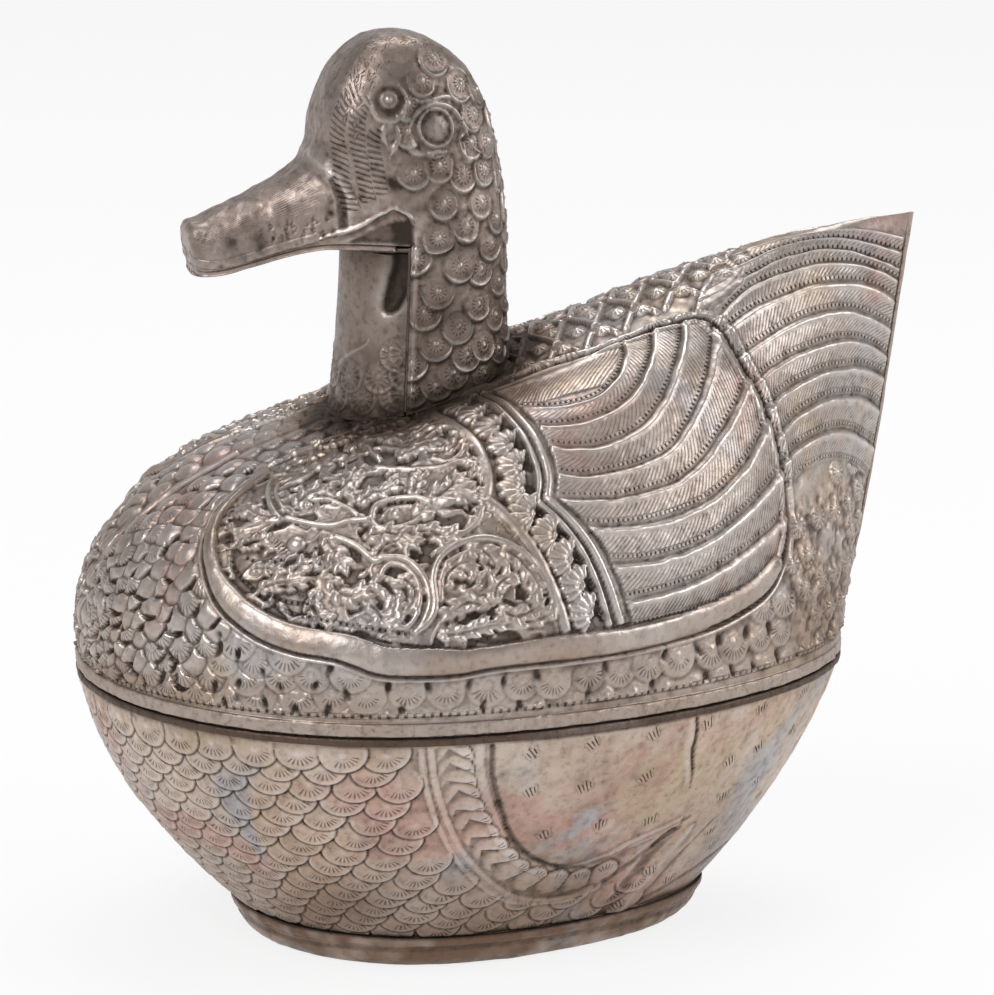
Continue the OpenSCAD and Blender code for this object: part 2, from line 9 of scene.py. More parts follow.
import bpy
import numpy as np
from mathutils import Matrix


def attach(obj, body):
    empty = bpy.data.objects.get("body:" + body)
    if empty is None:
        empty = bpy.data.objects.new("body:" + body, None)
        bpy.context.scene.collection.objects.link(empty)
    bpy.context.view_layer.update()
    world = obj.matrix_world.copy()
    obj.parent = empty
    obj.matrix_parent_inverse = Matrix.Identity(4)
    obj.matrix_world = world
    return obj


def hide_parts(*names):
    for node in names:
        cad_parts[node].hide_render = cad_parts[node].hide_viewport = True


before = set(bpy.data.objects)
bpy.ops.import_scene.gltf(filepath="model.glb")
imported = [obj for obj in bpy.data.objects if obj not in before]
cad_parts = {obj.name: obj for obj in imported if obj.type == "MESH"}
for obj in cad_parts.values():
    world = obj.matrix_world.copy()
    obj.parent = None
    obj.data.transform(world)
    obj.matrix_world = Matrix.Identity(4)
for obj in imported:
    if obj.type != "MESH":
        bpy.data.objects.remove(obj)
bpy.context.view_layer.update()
STEP = 0.27          # distance between the points of a raised sheet
CELL = 0.78 * STEP                     # the same on the wing, which is chased finer
PER_POINT = 24                         # places laid along a line for each point given
rng = np.random.default_rng(7)

# ---------------------------------------------------------------- sizes, as in the solids
mouth_len, mouth_w, breast_x, bowl_h, lid_h = 124.0, 95.0, 60.0, 38.0, 67.9
tail_over, tail_bow, tail_w, wing_h = 11.0, 1.6, 3.0, 2.4
foot_h, crease_len, crease_w, foot_out, foot_in = 5.6, 76.8, 56.0, 0.6, 4.2
sheet, seam_gap, fit_gap, wire_h, rim_out, band_h, collar_h = 0.9, 0.3, 0.6, 1.2, 0.5, 2.1, 5.0
strip_lap = 0.15
neck_x, neck_foot_len, neck_foot_w, neck_len, neck_w, neck_lean = 6.2, 28.6, 28.6, 26.4, 25.6, 0.4
jaw_h, throat_angle, throat_gap, seat_gap = 67.0, 68.0, 0.25, 0.1
head_h, bill_reach, bill_lip, bill_w, bill_drop, floor_sag = 32.2, 38.2, 0.8, 12.6, 3.8, 0.5
mouth_z = foot_h + bowl_h
band_z = mouth_z + seam_gap
lid_z = band_z + band_h
jaw_z = lid_z + jaw_h
stern_x = mouth_len - breast_x
wide_x, crease_wide_x, crease_front = -13.0, -6.0, 0.453 * crease_len
stern_round, crease_round = 2 / 1.85, 2 / 1.7
collar_in = sheet + fit_gap


def sind(a):                            # angles are in degrees
    return np.sin(np.radians(a))


def cosd(a):
    return np.cos(np.radians(a))


def soft(a, b, x):
    """Smooth step from 0 where x is a to 1 where x is b."""
    t = np.clip((x - a) / (b - a), 0, 1)
    return t * t * (3 - 2 * t)


def unit(a):
    return a / np.maximum(np.linalg.norm(a, axis=-1, keepdims=True), 1e-12)


def along(tab, t):
    """Smooth curve through the rows of a table, t from 0 to 1 over the rows."""
    tab = np.asarray(tab, float)
    flat = tab.ndim == 1
    if flat:
        tab = tab[:, None]
    n = len(tab) - 1
    q = np.clip(np.asarray(t, float), 0, 1) * n
    i = np.minimum(np.floor(q).astype(int), n - 1)
    f = (q - i)[..., None]
    b, c = tab[i], tab[i + 1]
    a = np.where((i > 0)[..., None], tab[np.maximum(i - 1, 0)], 2 * b - c)
    d = np.where((i + 2 <= n)[..., None], tab[np.minimum(i + 2, n)], 2 * c - b)
    r = 0.5 * (2 * b + (c - a) * f + (2 * a - 5 * b + 4 * c - d) * f * f
               + (3 * b - a - 3 * c + d) * f ** 3)
    return r[..., 0] if flat else r


def smooth_line(pts, n):
    """n places along a smooth line through points."""
    return along(pts, np.linspace(0, 1, n))


# ---------------------------------------------------------------- surfaces of the solids
def egg(s, front, rear, wide, w, tail, d):
    """Half of an egg-shaped outline from front to rear, inset by d; tail sharpens its rear."""
    c = cosd(180 * s)
    q = np.maximum(sind(180 * s), 0)
    x = np.where(c > 0, wide - (wide + front - d) * c, wide + (rear - d - wide) * np.abs(c) ** tail)
    return x, np.where(c > 0, (w / 2 - d) * q, (w / 2 - d) * q ** tail)


def mouth(s, d):
    """Outline of the mouth, where bowl and lid meet."""
    return egg(s, breast_x, stern_x, wide_x, mouth_w, stern_round, d)


def bowl_point(r, k, d=0.0):
    """r from 0 at the crease to 1 at the mouth, k from 0 in front to 1 behind, near side."""
    g = 0.45 * np.maximum(sind(90 * r), 0) ** 0.9 + 0.55 * r
    front = crease_front + (breast_x - crease_front) * (g + 0.07 * sind(180 * r))
    rear0 = crease_len - crease_front
    rear = rear0 + (stern_x - rear0) * (g + 0.02 * sind(180 * r))
    w = crease_w + (mouth_w - crease_w) * g
    wide = crease_wide_x + (wide_x - crease_wide_x) * r
    x, y = egg(k, front, rear, wide, w, crease_round + (stern_round - crease_round) * r, d)
    return np.stack([x, -y, foot_h + (bowl_h - wire_h) * r + 0 * x], -1)


def foot_point(r, k, d=0.0, z0=0.0):
    """r from 0 on the floor to 1 at the crease, k as in bowl_point."""
    g = 0.75 * np.sqrt(np.maximum(1 - (1 - r) ** 2, 0)) + 0.25 * r
    i = foot_in * (1 - g) - foot_out
    x, y = egg(k, crease_front - i, crease_len - crease_front - i, crease_wide_x, crease_w - 2 * i,
               crease_round, d)
    return np.stack([x, -y, z0 + (foot_h - z0) * r + 0 * x], -1)


ridge = [[0, 0], [0.002, 0.14], [0.029, 0.265], [0.08, 0.356], [0.144, 0.43], [0.213, 0.49],
         [0.285, 0.538], [0.361, 0.588], [0.441, 0.648], [0.518, 0.686], [0.59, 0.736],
         [0.666, 0.792], [0.746, 0.854], [0.831, 0.904], [0.915, 0.947], [1, 0.981], [1, 1]]
section_form = [1, 0.8, 0.77, 0.9, 0.92, 0.92, 0.98, 1.05, 1.15]
ridge_line = np.array([[p[0] * mouth_len - breast_x, p[1] * lid_h] for p in ridge])
ridge_line[-1] = [stern_x + tail_over, lid_h]


def offset_line(line, s, d):
    """Places on a line in the plane of symmetry, moved inwards by d."""
    p = along(line, s)
    t = unit(along(line, np.minimum(s + 0.004, 1)) - along(line, np.maximum(s - 0.004, 0)))
    return p[..., 0] + t[..., 1] * d, p[..., 1] - t[..., 0] * d


def lid_plain(s, v, d=0.0):
    """Lid without the wings: s from breast to tail, v from 0 on the ridge to 1 on the near rim."""
    s, v = np.asarray(s, float), np.asarray(v, float)
    ex, ey = mouth(s, d)
    half = ey + (tail_w / 2 - d) * np.maximum(s, 0) ** 6
    tx, tz = offset_line(ridge_line, s, d)
    z = cosd(90 * v)
    y = np.sign(v) * half * np.maximum(sind(90 * np.abs(v)), 0) ** along(section_form, s)
    x = ex + (tx - ex) * z + tail_bow * s ** 3 * sind(180 * z) * (1 - z)
    return np.stack([x, -y, lid_z + tz * z], -1)


def lid_point(s, v, d=0.0):
    """Lid with the swell of its folded wings."""
    p = lid_plain(s, v, d)
    e = 0.001
    n = unit(np.cross(lid_plain(s, v + e, d) - lid_plain(s, v - e, d),
                      lid_plain(s + e, v, d) - lid_plain(s - e, v, d)))
    q = (np.abs(s - 0.505) / 0.315) ** 2.4 + (np.abs(np.abs(v) - 0.56) / 0.36) ** 2.4
    return p + n * (wing_h * (1 - soft(0.55, 1.25, q)) * soft(0.08, 0.42, np.abs(v)))[..., None]


def neck_half(h, d):
    """Half length and half width of the neck at height h."""
    f = (1 - h) ** 2
    return (neck_len + (neck_foot_len - neck_len) * f) / 2 \
        - d, (neck_w + (neck_foot_w - neck_w) * f) / 2 - d


def neck_point(h, a, z0, z1, d=0.0):
    """Near side of the neck: h from 0 at its foot to 1 at the jaw, a from 0 in front to 180."""
    rx, ry = neck_half(h, d)
    x = -neck_x + neck_lean * h - rx * cosd(a)
    return np.stack([x, -ry * sind(a), z0 + (z1 - z0) * h + 0 * x], -1)


def lid_under(x, y):
    """Height of the lid straight under near-side places x, y."""
    s, v, e = 0.46 + 0 * x, 0.15 + 0 * x, 0.002
    for _ in range(6):
        p = lid_point(s, v)
        a, b = (lid_point(s + e, v) - p) / e, (lid_point(s, v + e) - p) / e
        dx, dy = x - p[..., 0], y - p[..., 1]
        det = a[..., 0] * b[..., 1] - a[..., 1] * b[..., 0]
        s, v = s + (dx * b[..., 1] - dy * b[..., 0]) / det, v \
            + (dy * a[..., 0] - dx * a[..., 1]) / det
    return lid_point(s, v)[..., 2]


def neck_foot_z(a):
    """Height at which the neck meets the lid, at angle a."""
    p = neck_point(0 * a, a, 0, 0, sheet / 2)
    return seat_gap + lid_under(p[..., 0], p[..., 1])


bill_edge = [[1, 0, 1], [0.99, 0.37, 1.1], [0.9, 0.5, 1], [0.777, 0.53, 0.7], [0.648, 0.56, 0.34],
             [0.532, 0.63, 0.06], [0.415, 0.725, -0.05], [0, 0, 0]]
crown = [[1, 0], [1.01, 0.09], [0.929, 0.13], [0.776, 0.208], [0.622, 0.3], [0.727, 0.416],
         [0.682, 0.6], [0.595, 0.795], [0.409, 0.957], [0.155, 1], [-0.114, 0.913],
         [-0.318, 0.702], [-0.439, 0.37], [0, 0]]
head_form = [1, 0.6, 0.6, 0.65, 0.7, 0.6, 0.5, 0.5, 0.5, 0.5, 0.5, 0.55, 0.7, 1]
jaw_share, bill_top = 0.45, 4
head_x = neck_lean - neck_x
edge_line = np.array([[head_x - p[0] * (bill_reach - bill_lip), p[1] * bill_w,
                       jaw_z - p[2] * bill_drop]
                      for p in bill_edge])
edge_line[-1] = neck_point(1.0, throat_angle, jaw_z, jaw_z) * [1, -1, 1]
crown_line = np.array([[head_x - p[0] * (bill_reach if i <= bill_top else neck_len),
                        jaw_z + p[1] * head_h
                        - (bill_drop * (bill_top - i) / bill_top * 0.25 if i <= bill_top else 0)]
                       for i, p in enumerate(crown)])
crown_line[0] = edge_line[0][[0, 2]]
crown_line[-1] = [head_x + neck_half(1.0, 0)[0], jaw_z]


def jaw_angle(s):
    """Angle round the neck that belongs to place s behind the bill."""
    return throat_angle + (180 - throat_angle) * (s - jaw_share) / (1 - jaw_share)


def head_edge(s, d=0.0):
    """Lower edge of the head: along the bill up to jaw_share, and then round the neck."""
    s = np.asarray(s, float)
    n = neck_point(np.ones_like(s), jaw_angle(np.maximum(s, jaw_share)), jaw_z, jaw_z, d) \
        * [1, -1, 1]
    p = along(edge_line, np.minimum(s / jaw_share, 1))
    q = np.maximum(1 - s / 0.08, 0)
    b = np.stack([p[..., 0] + d * q, p[..., 1] - d * np.minimum(p[..., 1] / 3, 1), p[..., 2]], -1)
    return np.where((s >= jaw_share)[..., None], n, b)


def head_point(s, v, d=0.0):
    """Head and, for v from 1 to 2, the near side of the neck from the jaw down to its foot."""
    s, v = np.broadcast_arrays(np.asarray(s, float), np.asarray(v, float))
    w = np.minimum(v, 1)
    e = head_edge(s, d)
    tx, tz = offset_line(crown_line, s, d)
    z = cosd(90 * w)
    y = np.sign(w) * e[..., 1] * np.maximum(sind(90 * np.abs(w)), 0) ** along(head_form, s)
    p = np.stack([e[..., 0] + (tx - e[..., 0]) * z, -y, e[..., 2] + (tz - e[..., 2]) * z], -1)
    a = jaw_angle(np.maximum(s, jaw_share))
    foot = neck_foot_z(a[:, :1])
    n = neck_point(np.clip(2 - v, 0, 1), a, foot, jaw_z, d)
    return np.where((v > 1)[..., None], n, p)


# ---------------------------------------------------------------- camera at the photograph's angle
AZ, EL, ROLL = -15.0, 13.0, 1.0         # degrees
DIST, PX = 900.0, 0.16                  # mm to the eye, mm in a pixel at the target
TARGET = np.array([7.0, 0.0, 69.5])
back_dir = np.array([sind(AZ) * cosd(EL), -cosd(AZ) * cosd(EL), sind(EL)])
level_right = np.array([cosd(AZ), sind(AZ), 0.0])
level_up = np.cross(back_dir, level_right)
right_dir = level_right * cosd(ROLL) + level_up * sind(ROLL)
up_dir = -level_right * sind(ROLL) + level_up * cosd(ROLL)
EYE = TARGET + DIST * back_dir
WIDE, HIGH = 994, 995                   # pixels of the photograph


def pixel_of(p):
    """Pixel of the photograph at which a place shows."""
    d = p - EYE
    k = DIST / PX / -(d @ back_dir)
    return WIDE / 2 + (d @ right_dir) * k, HIGH / 2 - (d @ up_dir) * k


# ---------------------------------------------------------------- tools for raised work
def noise(p, size, seed=0):
    """Smooth noise from -1 to 1 over places p, with bumps about size mm apart."""
    q = p / size + 57.3 * (seed + 1)
    i = np.floor(q).astype(np.int64)
    f = q - i
    f = f * f * (3 - 2 * f)
    out = 0.0
    for c in range(8):
        o = np.array([c & 1, c >> 1 & 1, c >> 2 & 1])
        k = i + o
        h = (k[..., 0] * 73856093) ^ (k[..., 1] * 19349663) ^ (k[..., 2] * 83492791)
        h = h ^ (seed * 2654435761)     # a hash of the corner, then its share of the value
        h = (h ^ (h >> 13)) * 1274126177 & 0xFFFFFF
        w = np.prod(np.where(o, f, 1 - f), axis=-1)
        out = out + w * (h / 0x7FFFFF - 1)
    return out


def blur(h, ni, nj):
    """Field smoothed twice over ni and nj cells each way."""
    for ax, n in ((0, ni), (1, nj)):
        n = max(int(n), 1)
        for _ in range(2):
            p = np.concatenate([np.flip(np.take(h, range(1, n + 1), ax), ax), h,
                                np.flip(np.take(h, range(-n - 1, -1), ax), ax)], ax)
            c = np.cumsum(np.concatenate([np.zeros_like(np.take(p, [0], ax)), p], ax), axis=ax)
            m = h.shape[ax]
            h = (np.take(c, range(2 * n + 1, 2 * n + 1 + m), ax) - np.take(c, range(0, m), ax)) \
                / (2 * n + 1)
    return h


def bumps(p, *waves):
    """Sum of noises, each given as height, size and seed."""
    return sum(height * noise(p, size, seed) for height, size, seed in waves)


def inside(poly, u, v):
    """Whether places u, v lie inside a closed outline."""
    poly = np.asarray(poly, float)
    hit = np.zeros(u.shape, bool)
    for (x0, y0), (x1, y1) in zip(poly, np.roll(poly, -1, axis=0)):
        if y0 != y1:
            hit ^= ((y0 > v) != (y1 > v)) & (u < (x1 - x0) * (v - y0) / (y1 - y0) + x0)
    return hit


LOBE_TURN, LOBE_BEND = 62, 34           # how a leaf's lobes leave its rib and curl, degrees


class Skin:
    """Near half of a sheet as a grid of places: u runs from breast to tail, v downwards.

    The work raised on it is kept in H, in mm along the normals N. hatch and phase draw fine
    struck lines, dark is oxide that lies on the sheet whatever its form, in a few places painted
    shade, and stain_and_shade holds stains and painted shade.
    A grid place is a pair of numbers i, j that count cells."""

    def __init__(self, point, us, vs, live=None):
        self.us, self.vs = us, vs
        self.U, self.V = np.meshgrid(us, vs, indexing="ij")
        self.P = point(self.U, self.V)
        self.live = live(self.U, self.V) if live else np.ones(self.U.shape, bool)
        self.A, self.B = np.gradient(self.P, axis=0), np.gradient(self.P, axis=1)
        n = np.cross(self.B, self.A)
        weak = np.linalg.norm(n, axis=-1) < 1e-9           # where the grid's cells close to a point
        n = unit(n)
        n[weak] = 0
        if weak[0].any():
            n[0] = n[1]
        if weak[-1].any():
            n[-1] = n[-2]
        self.N = n
        self.H, self.hatch, self.phase, self.dark, self.stain_and_shade = (np.zeros(self.U.shape)
                                                                for _ in range(5))
        self.px, self.py = pixel_of(self.P)
        self.faces_eye = (np.sum(n * (EYE - self.P), axis=-1) > 0) & self.live

    # places
    def ij(self, u, v):
        """Grid place of u, v."""
        return np.array([np.interp(u, self.us, np.arange(len(self.us))),
                         np.interp(v, self.vs, np.arange(len(self.vs)))])

    def at(self, q):
        """Place in space of grid places."""
        g = self.P
        i = np.clip(q[..., 0], 0, g.shape[0] - 1.001)
        j = np.clip(q[..., 1], 0, g.shape[1] - 1.001)
        i0, j0 = i.astype(int), j.astype(int)
        a, b = (i - i0)[..., None], (j - j0)[..., None]
        return (g[i0, j0] * (1 - a) * (1 - b) + g[i0 + 1, j0] * a * (1 - b)
                + g[i0, j0 + 1] * (1 - a) * b + g[i0 + 1, j0 + 1] * a * b)

    def seen(self, x, y):
        """Grid place that the photograph shows at pixel x, y."""
        d = (self.px - x) ** 2 + (self.py - y) ** 2 + np.where(self.faces_eye, 0, 1e9)
        return np.array(np.unravel_index(np.argmin(d), d.shape), float)

    def frame(self, q):
        """Steps of the grid at place q, and unit directions to the tail and downwards."""
        i, j = int(round(q[0])), int(round(q[1]))
        i, j = min(max(i, 1), len(self.us) - 2), min(max(j, 1), len(self.vs) - 2)
        a, b = self.A[i, j], self.B[i, j]
        ta = unit(a)
        tb = unit(b - (b @ ta) * ta)
        return a, b, ta, tb

    def spot(self, q, r, turn=0.0):
        """Grid window round place q and its flat coordinates in mm: a to the tail, b down."""
        a, b, ta, tb = self.frame(q)
        wi = min(int(1.35 * r / max(np.linalg.norm(a), 0.04)) + 2, 300)
        wj = min(int(1.35 * r / max(np.linalg.norm(b), 0.04)) + 2, 300)
        i, j = int(round(q[0])), int(round(q[1]))
        sl = (slice(max(i - wi, 0), i + wi + 1), slice(max(j - wj, 0), j + wj + 1))
        d = self.P[sl] - self.at(np.asarray(q, float))
        x, y = d @ ta, d @ tb
        k = np.linalg.norm(d, axis=-1) / np.maximum(np.hypot(x, y), 1e-6)
        x, y = x * k, y * k
        c, s = cosd(turn), sind(turn)
        return sl, x * c + y * s, -x * s + y * c

    def local(self, q, pts, turn=0.0):
        """Grid places of points in mm, x to the tail and y down, laid at place q."""
        a, b, ta, tb = self.frame(q)
        p = np.asarray(pts, float)
        c, s = cosd(turn), sind(turn)
        x, y = p[:, 0] * c - p[:, 1] * s, p[:, 0] * s + p[:, 1] * c
        dj = y / (b @ tb)
        di = (x - dj * (b @ ta)) / np.linalg.norm(a)
        return np.stack([q[0] + di, q[1] + dj], -1)

    def curve(self, pts):
        """Grid places along a smooth line through (u, v) points."""
        return smooth_line(self.ij(*np.transpose(pts)).T, PER_POINT * len(pts))

    def photo(self, pts):
        """Grid places along a smooth line through pixels of the photograph."""
        return smooth_line([self.seen(*p) for p in pts], PER_POINT * len(pts))

    def within(self, line):
        """Whether a line of grid places keeps clear of the grid's border."""
        return line.min() > 2 and (line < np.array(self.U.shape) - 3).all()

    def field(self, q, reach):
        """Distance from a line, length along it and side for the whole grid, as flat rows."""
        hit, *values, _ = self.trace(q, reach)
        rows = np.full(self.U.size, reach), np.zeros(self.U.size), np.zeros(self.U.size)
        for row, v in zip(rows, values):
            row[hit] = v
        return rows

    def lengths(self, q):
        """Length from the start of a line to each of its places."""
        steps = np.linalg.norm(np.diff(self.at(q), axis=0), axis=1)
        return np.concatenate([[0], np.cumsum(steps)])

    def trace(self, q, reach):
        """Points within reach of a line: flat numbers, distance, length along, side; its length."""
        gap = max(0.2, STEP * 0.7)
        ln = self.lengths(q)
        s = np.linspace(0, ln[-1], max(int(ln[-1] / gap), 2) + 1)
        q = np.stack([np.interp(s, ln, q[:, 0]), np.interp(s, ln, q[:, 1])], -1)
        x = self.at(q)
        t = unit(np.gradient(x, axis=0))
        # windows of cells round the line's points, in lots that fit in memory
        n, m = self.U.shape
        c = np.clip(np.round(q).astype(int), 0, [n - 1, m - 1])
        la = np.linalg.norm(self.A[c[:, 0], c[:, 1]], axis=-1)
        lb = np.linalg.norm(self.B[c[:, 0], c[:, 1]], axis=-1)
        wi = min(int(1.25 * reach / max(np.percentile(la, 15), 0.05)) + 2, 160)
        wj = min(int(1.25 * reach / max(np.percentile(lb, 15), 0.05)) + 2, 160)
        oi, oj = (o.ravel() for o in np.mgrid[-wi:wi + 1, -wj:wj + 1])
        best, pos, side = np.full(n * m, 1e9), np.zeros(n * m), np.zeros(n * m)
        flat_p, flat_n = self.P.reshape(-1, 3), self.N.reshape(-1, 3)
        step = max(int(1.5e6 / len(oi)), 1)
        for k in range(0, len(q), step):
            i = c[k:k + step, 0, None] + oi
            j = c[k:k + step, 1, None] + oj
            ok = (i >= 0) & (i < n) & (j >= 0) & (j < m)
            row = np.broadcast_to(np.arange(k, min(k + step, len(q)))[:, None], i.shape)[ok]
            idx = (i * m + j)[ok]
            d = flat_p[idx] - x[row]
            dd = np.sum(d * d, axis=-1)
            keep = dd < (reach * 1.05) ** 2 + 0.1
            idx, row, d, dd = idx[keep], row[keep], d[keep], dd[keep]
            al = np.sum(d * t[row], axis=-1)
            sd = -np.sum(np.cross(t[row], d) * flat_n[idx], axis=-1)
            ds = np.where(np.abs(al) < gap * 0.75, np.sqrt(np.maximum(dd - al * al, 0)),
                          np.sqrt(dd))
            o = np.argsort(-dd)
            tb = np.full(n * m, 1e9)
            tb[idx[o]] = ds[o]
            ts, tp = np.zeros(n * m), np.zeros(n * m)
            tp[idx[o]] = (s[row] + al)[o]
            ts[idx[o]] = np.sign(sd)[o]
            w = tb < best
            best[w], pos[w], side[w] = tb[w], tp[w], ts[w]
        hit = np.flatnonzero((best < reach) & self.live.ravel())
        return hit, best[hit], pos[hit], side[hit], s[-1]

    # work
    def bead(self, q, width, height, how="add", dark=0.0):
        """Rounded ridge, or a groove where height is negative, along a line."""
        hit, d, s, _, ln = self.trace(q, width)
        f = np.sqrt(np.maximum(1 - (d / width) ** 2, 0)) * soft(-0.3, 0.5, np.minimum(s, ln - s))
        h = self.H.ravel()
        if how == "add":
            h[hit] += height * f
        elif how == "max":
            h[hit] = np.maximum(h[hit], height * f)
        else:
            h[hit] = h[hit] * (1 - f) + height * f
        if dark:
            self.blacken(hit, dark * f)

    def blacken(self, where, f):
        """Oxide of at least f in a window of the grid, or at flat numbers; a few callers use it for
        painted shade.
        """
        k = self.dark if isinstance(where, tuple) else self.dark.ravel()
        k[where] = np.maximum(k[where], f)

    def ground(self, zone, height):
        """New ground in a zone, without struck lines or oxide."""
        self.H = np.where(zone, height, self.H)
        self.hatch = np.where(zone, 0, self.hatch)
        self.dark = np.where(zone, 0, self.dark)

    def stitches(self, q, width, pitch, dip):
        """Row of struck dots along a line."""
        hit, d, s, _, _ = self.trace(q, width)
        self.hatch.ravel()[hit] = soft(width, width * 0.4, d)
        self.phase.ravel()[hit] = s / pitch
        self.H.ravel()[hit] -= dip * soft(width, 0, d)

    def scale(self, q, r, turn=0.0, rise=0.3, drop=0.8, lip=0.0, dot=0.0, fan=0.0, rays=2.2,
              ring=0.0, squash=1.0, fan_in=0.32, fan_out=0.8, full=100, base=0.0, disc=False,
              cut=0.0):
        """Round-ended scale whose tip points down (turn 0), or one that is round all over (disc).

        rise, drop, squash and base give its form, lip, dot and ring what stands up on it, and cut
        the groove round it. fan is the strength of its rays, which lie from fan_in to fan_out of
        its radius r and within full degrees of its tip."""
        sl, a, b = self.spot(q, r * 1.3, turn)
        b = b / squash
        rr = np.hypot(a, b) / r
        shape = rr if disc else np.where(b < 0, np.maximum(np.abs(a) / r, -0.8 * b / r), rr)
        w = (1 - soft(0.90, 1.05, shape)) * self.live[sl]
        g = base + rise * (1 - drop * (0.5 - 0.5 * np.clip(b / r, -1, 1))) \
            * np.sqrt(np.clip(1.02 - rr ** 3, 0, 1))
        g = g + lip * np.exp(-((rr - 0.88) / 0.09) ** 2) * (b > -0.3 * r)
        g = g + dot * np.exp(-(rr / 0.17) ** 2) + ring * np.exp(-((rr - 0.36) / 0.08) ** 2)
        self.H[sl] = self.H[sl] * (1 - w) + g * w
        ang = np.degrees(np.arctan2(a, b + 1e-9))
        f = fan * soft(fan_in, fan_in + 0.1, rr) * (1 - soft(fan_out, fan_out + 0.1, rr)) \
            * (np.abs(ang) < full)
        on = w > 0.5
        self.hatch[sl] = np.where(on, f, self.hatch[sl])
        self.phase[sl] = np.where(on, ang / 180 * np.pi * rays, self.phase[sl])
        if cut:
            line = np.exp(-((rr - 1.0) / 0.05) ** 2) * (b > -0.25 * r)
            self.H[sl] -= cut * line
            self.dark[sl] = np.where(on, 0, self.dark[sl])
            self.blacken(sl, 1.3 * cut * line)

    def punch(self, q, n, pitch, length, turn, level=1.0):
        """Group of n short struck lines side by side, a little fanned and of uneven length."""
        r = n * pitch / 2
        sl, a, b = self.spot(q, max(r, length), turn)
        a = a * (1 + 0.3 * b / length)
        stroke = length * (0.85 + 0.3 * np.sin(9.0 * np.round(a / pitch + (n % 2) * 0.5) + q[0]))
        f = (np.abs(a) < r) * (1 - soft(stroke * 0.35, stroke * 0.6, np.abs(b)))
        on = f > 0
        self.hatch[sl] = np.where(on, level * f, self.hatch[sl])
        self.phase[sl] = np.where(on, a / pitch + 0.25 + (n % 2) * 0.5, self.phase[sl])

    def fade_edges(self, top, bottom):
        """Flatten the work towards the upper and lower edge, over so many mm."""
        j = np.arange(self.U.shape[1])[None]
        self.H *= soft(0, top / STEP, j) * soft(0, bottom / STEP, j[:, ::-1])

    def crust(self, gain=1.9, grime=0.22):
        """Oxide that gathers in what lies low, with painted shade from the wider blur, and polish
        on what stands out, which is also a painted highlight.
        """
        n1, n2 = 0.7 / STEP, 2.4 / STEP
        # the 0.7 mm blur finds oxide in hollows; the 2.4 mm blur adds painted shade, a broad
        # occlusion
        low = (blur(self.H, n1, n1) - self.H) * gain * 1.3 \
            + (blur(self.H, n2, n2) - self.H) * gain * 0.8
        pits = np.clip(low - 0.04, 0, 1.2)
        grime = grime * (0.6 * soft(0.15, 0.75, noise(self.P, 1.9, 301))
                         + 0.4 * soft(0.1, 0.7, noise(self.P, 0.9, 302))) \
            * soft(-0.5, 0.3, noise(self.P, 9.0, 303))
        self.oxide_and_shade = np.clip(0.9 * (1 - np.exp(-1.6 * pits)) + self.dark + grime, 0, 0.95)
        self.polish_and_highlight = np.clip(-low * 1.1, 0, 1)

    def blade(self, q, w, h, foot=0.5, sharp=0.7, how="max"):
        """Pointed leaf blade along a line, with a ridge along its middle.

        foot is its width at the start against w, and how is "max" for a leaf that lies on the
        ground or "add" for a fold or groove of the sheet."""
        hit, d, s, _, ln = self.trace(q, w * 1.1)
        if not len(hit):
            return
        t = np.clip(s / ln, 0, 1)
        wide = w * np.maximum(np.minimum(foot + 2.4 * t, 1) * (1 - t ** 2.4) ** 0.75, 0.03)
        x = d / wide
        body = h * (0.72 + 0.28 * sind(180 * t)) * np.maximum(1 - x, 0) ** sharp
        on = x < 1
        g = self.H.ravel()
        g[hit[on]] = np.maximum(g[hit[on]], body[on]) if how == "max" else g[hit[on]] + body[on]

    def heading(self, q, k):
        """Direction of a line of grid places at its k-th place, degrees from the tail downwards."""
        a, b, ta, tb = self.frame(q[k])
        d = q[min(k + 1, len(q) - 1)] - q[max(k - 1, 0)]
        v = d[0] * a + d[1] * b
        return np.degrees(np.arctan2(v @ tb, v @ ta))

    def acanthus(self, q, width, h, pairs, curl):
        """Leaf of pointed blades set on both sides of a curved rib."""
        n = len(q) - 1
        ln = self.lengths(q)
        self.blade(q, 0.62 * width, 0.55 * h, foot=0.4, sharp=0.28)
        for i in range(pairs):
            t = (i + 0.25) / (pairs + 0.35)
            k = int(np.clip(np.interp(t * ln[-1], ln, np.arange(n + 1)), 1, n - 1))
            turn = self.heading(q, k)
            half = 0.50 * width * sind(180 * (0.16 + 0.66 * t)) ** 0.8
            start, end = LOBE_TURN, LOBE_TURN - LOBE_BEND * curl
            for side in (1, -1):
                p = [(0, 0), (half * cosd(start), side * half * sind(start)),
                     (half * (cosd(start) + cosd(end)), side * half * (sind(start) + sind(end)))]
                lobe = smooth_line(self.local(q[k], p, turn), 14)
                self.blade(lobe, 0.32 * width + 0.2, h * 0.95, sharp=0.5)
        self.blade(q[int(0.55 * n):], 0.36 * width + 0.2, h, sharp=0.5)
        self.bead(q[int(0.08 * n):int(0.86 * n)], 0.24, -0.26)

    def out(self):
        """Places of the raised sheet."""
        return self.P + self.N * self.H[..., None]


VALUES = ("oxide_and_shade", "polish_and_highlight", "hatch", "phase", "stain_and_shade")      # what the material reads at each point


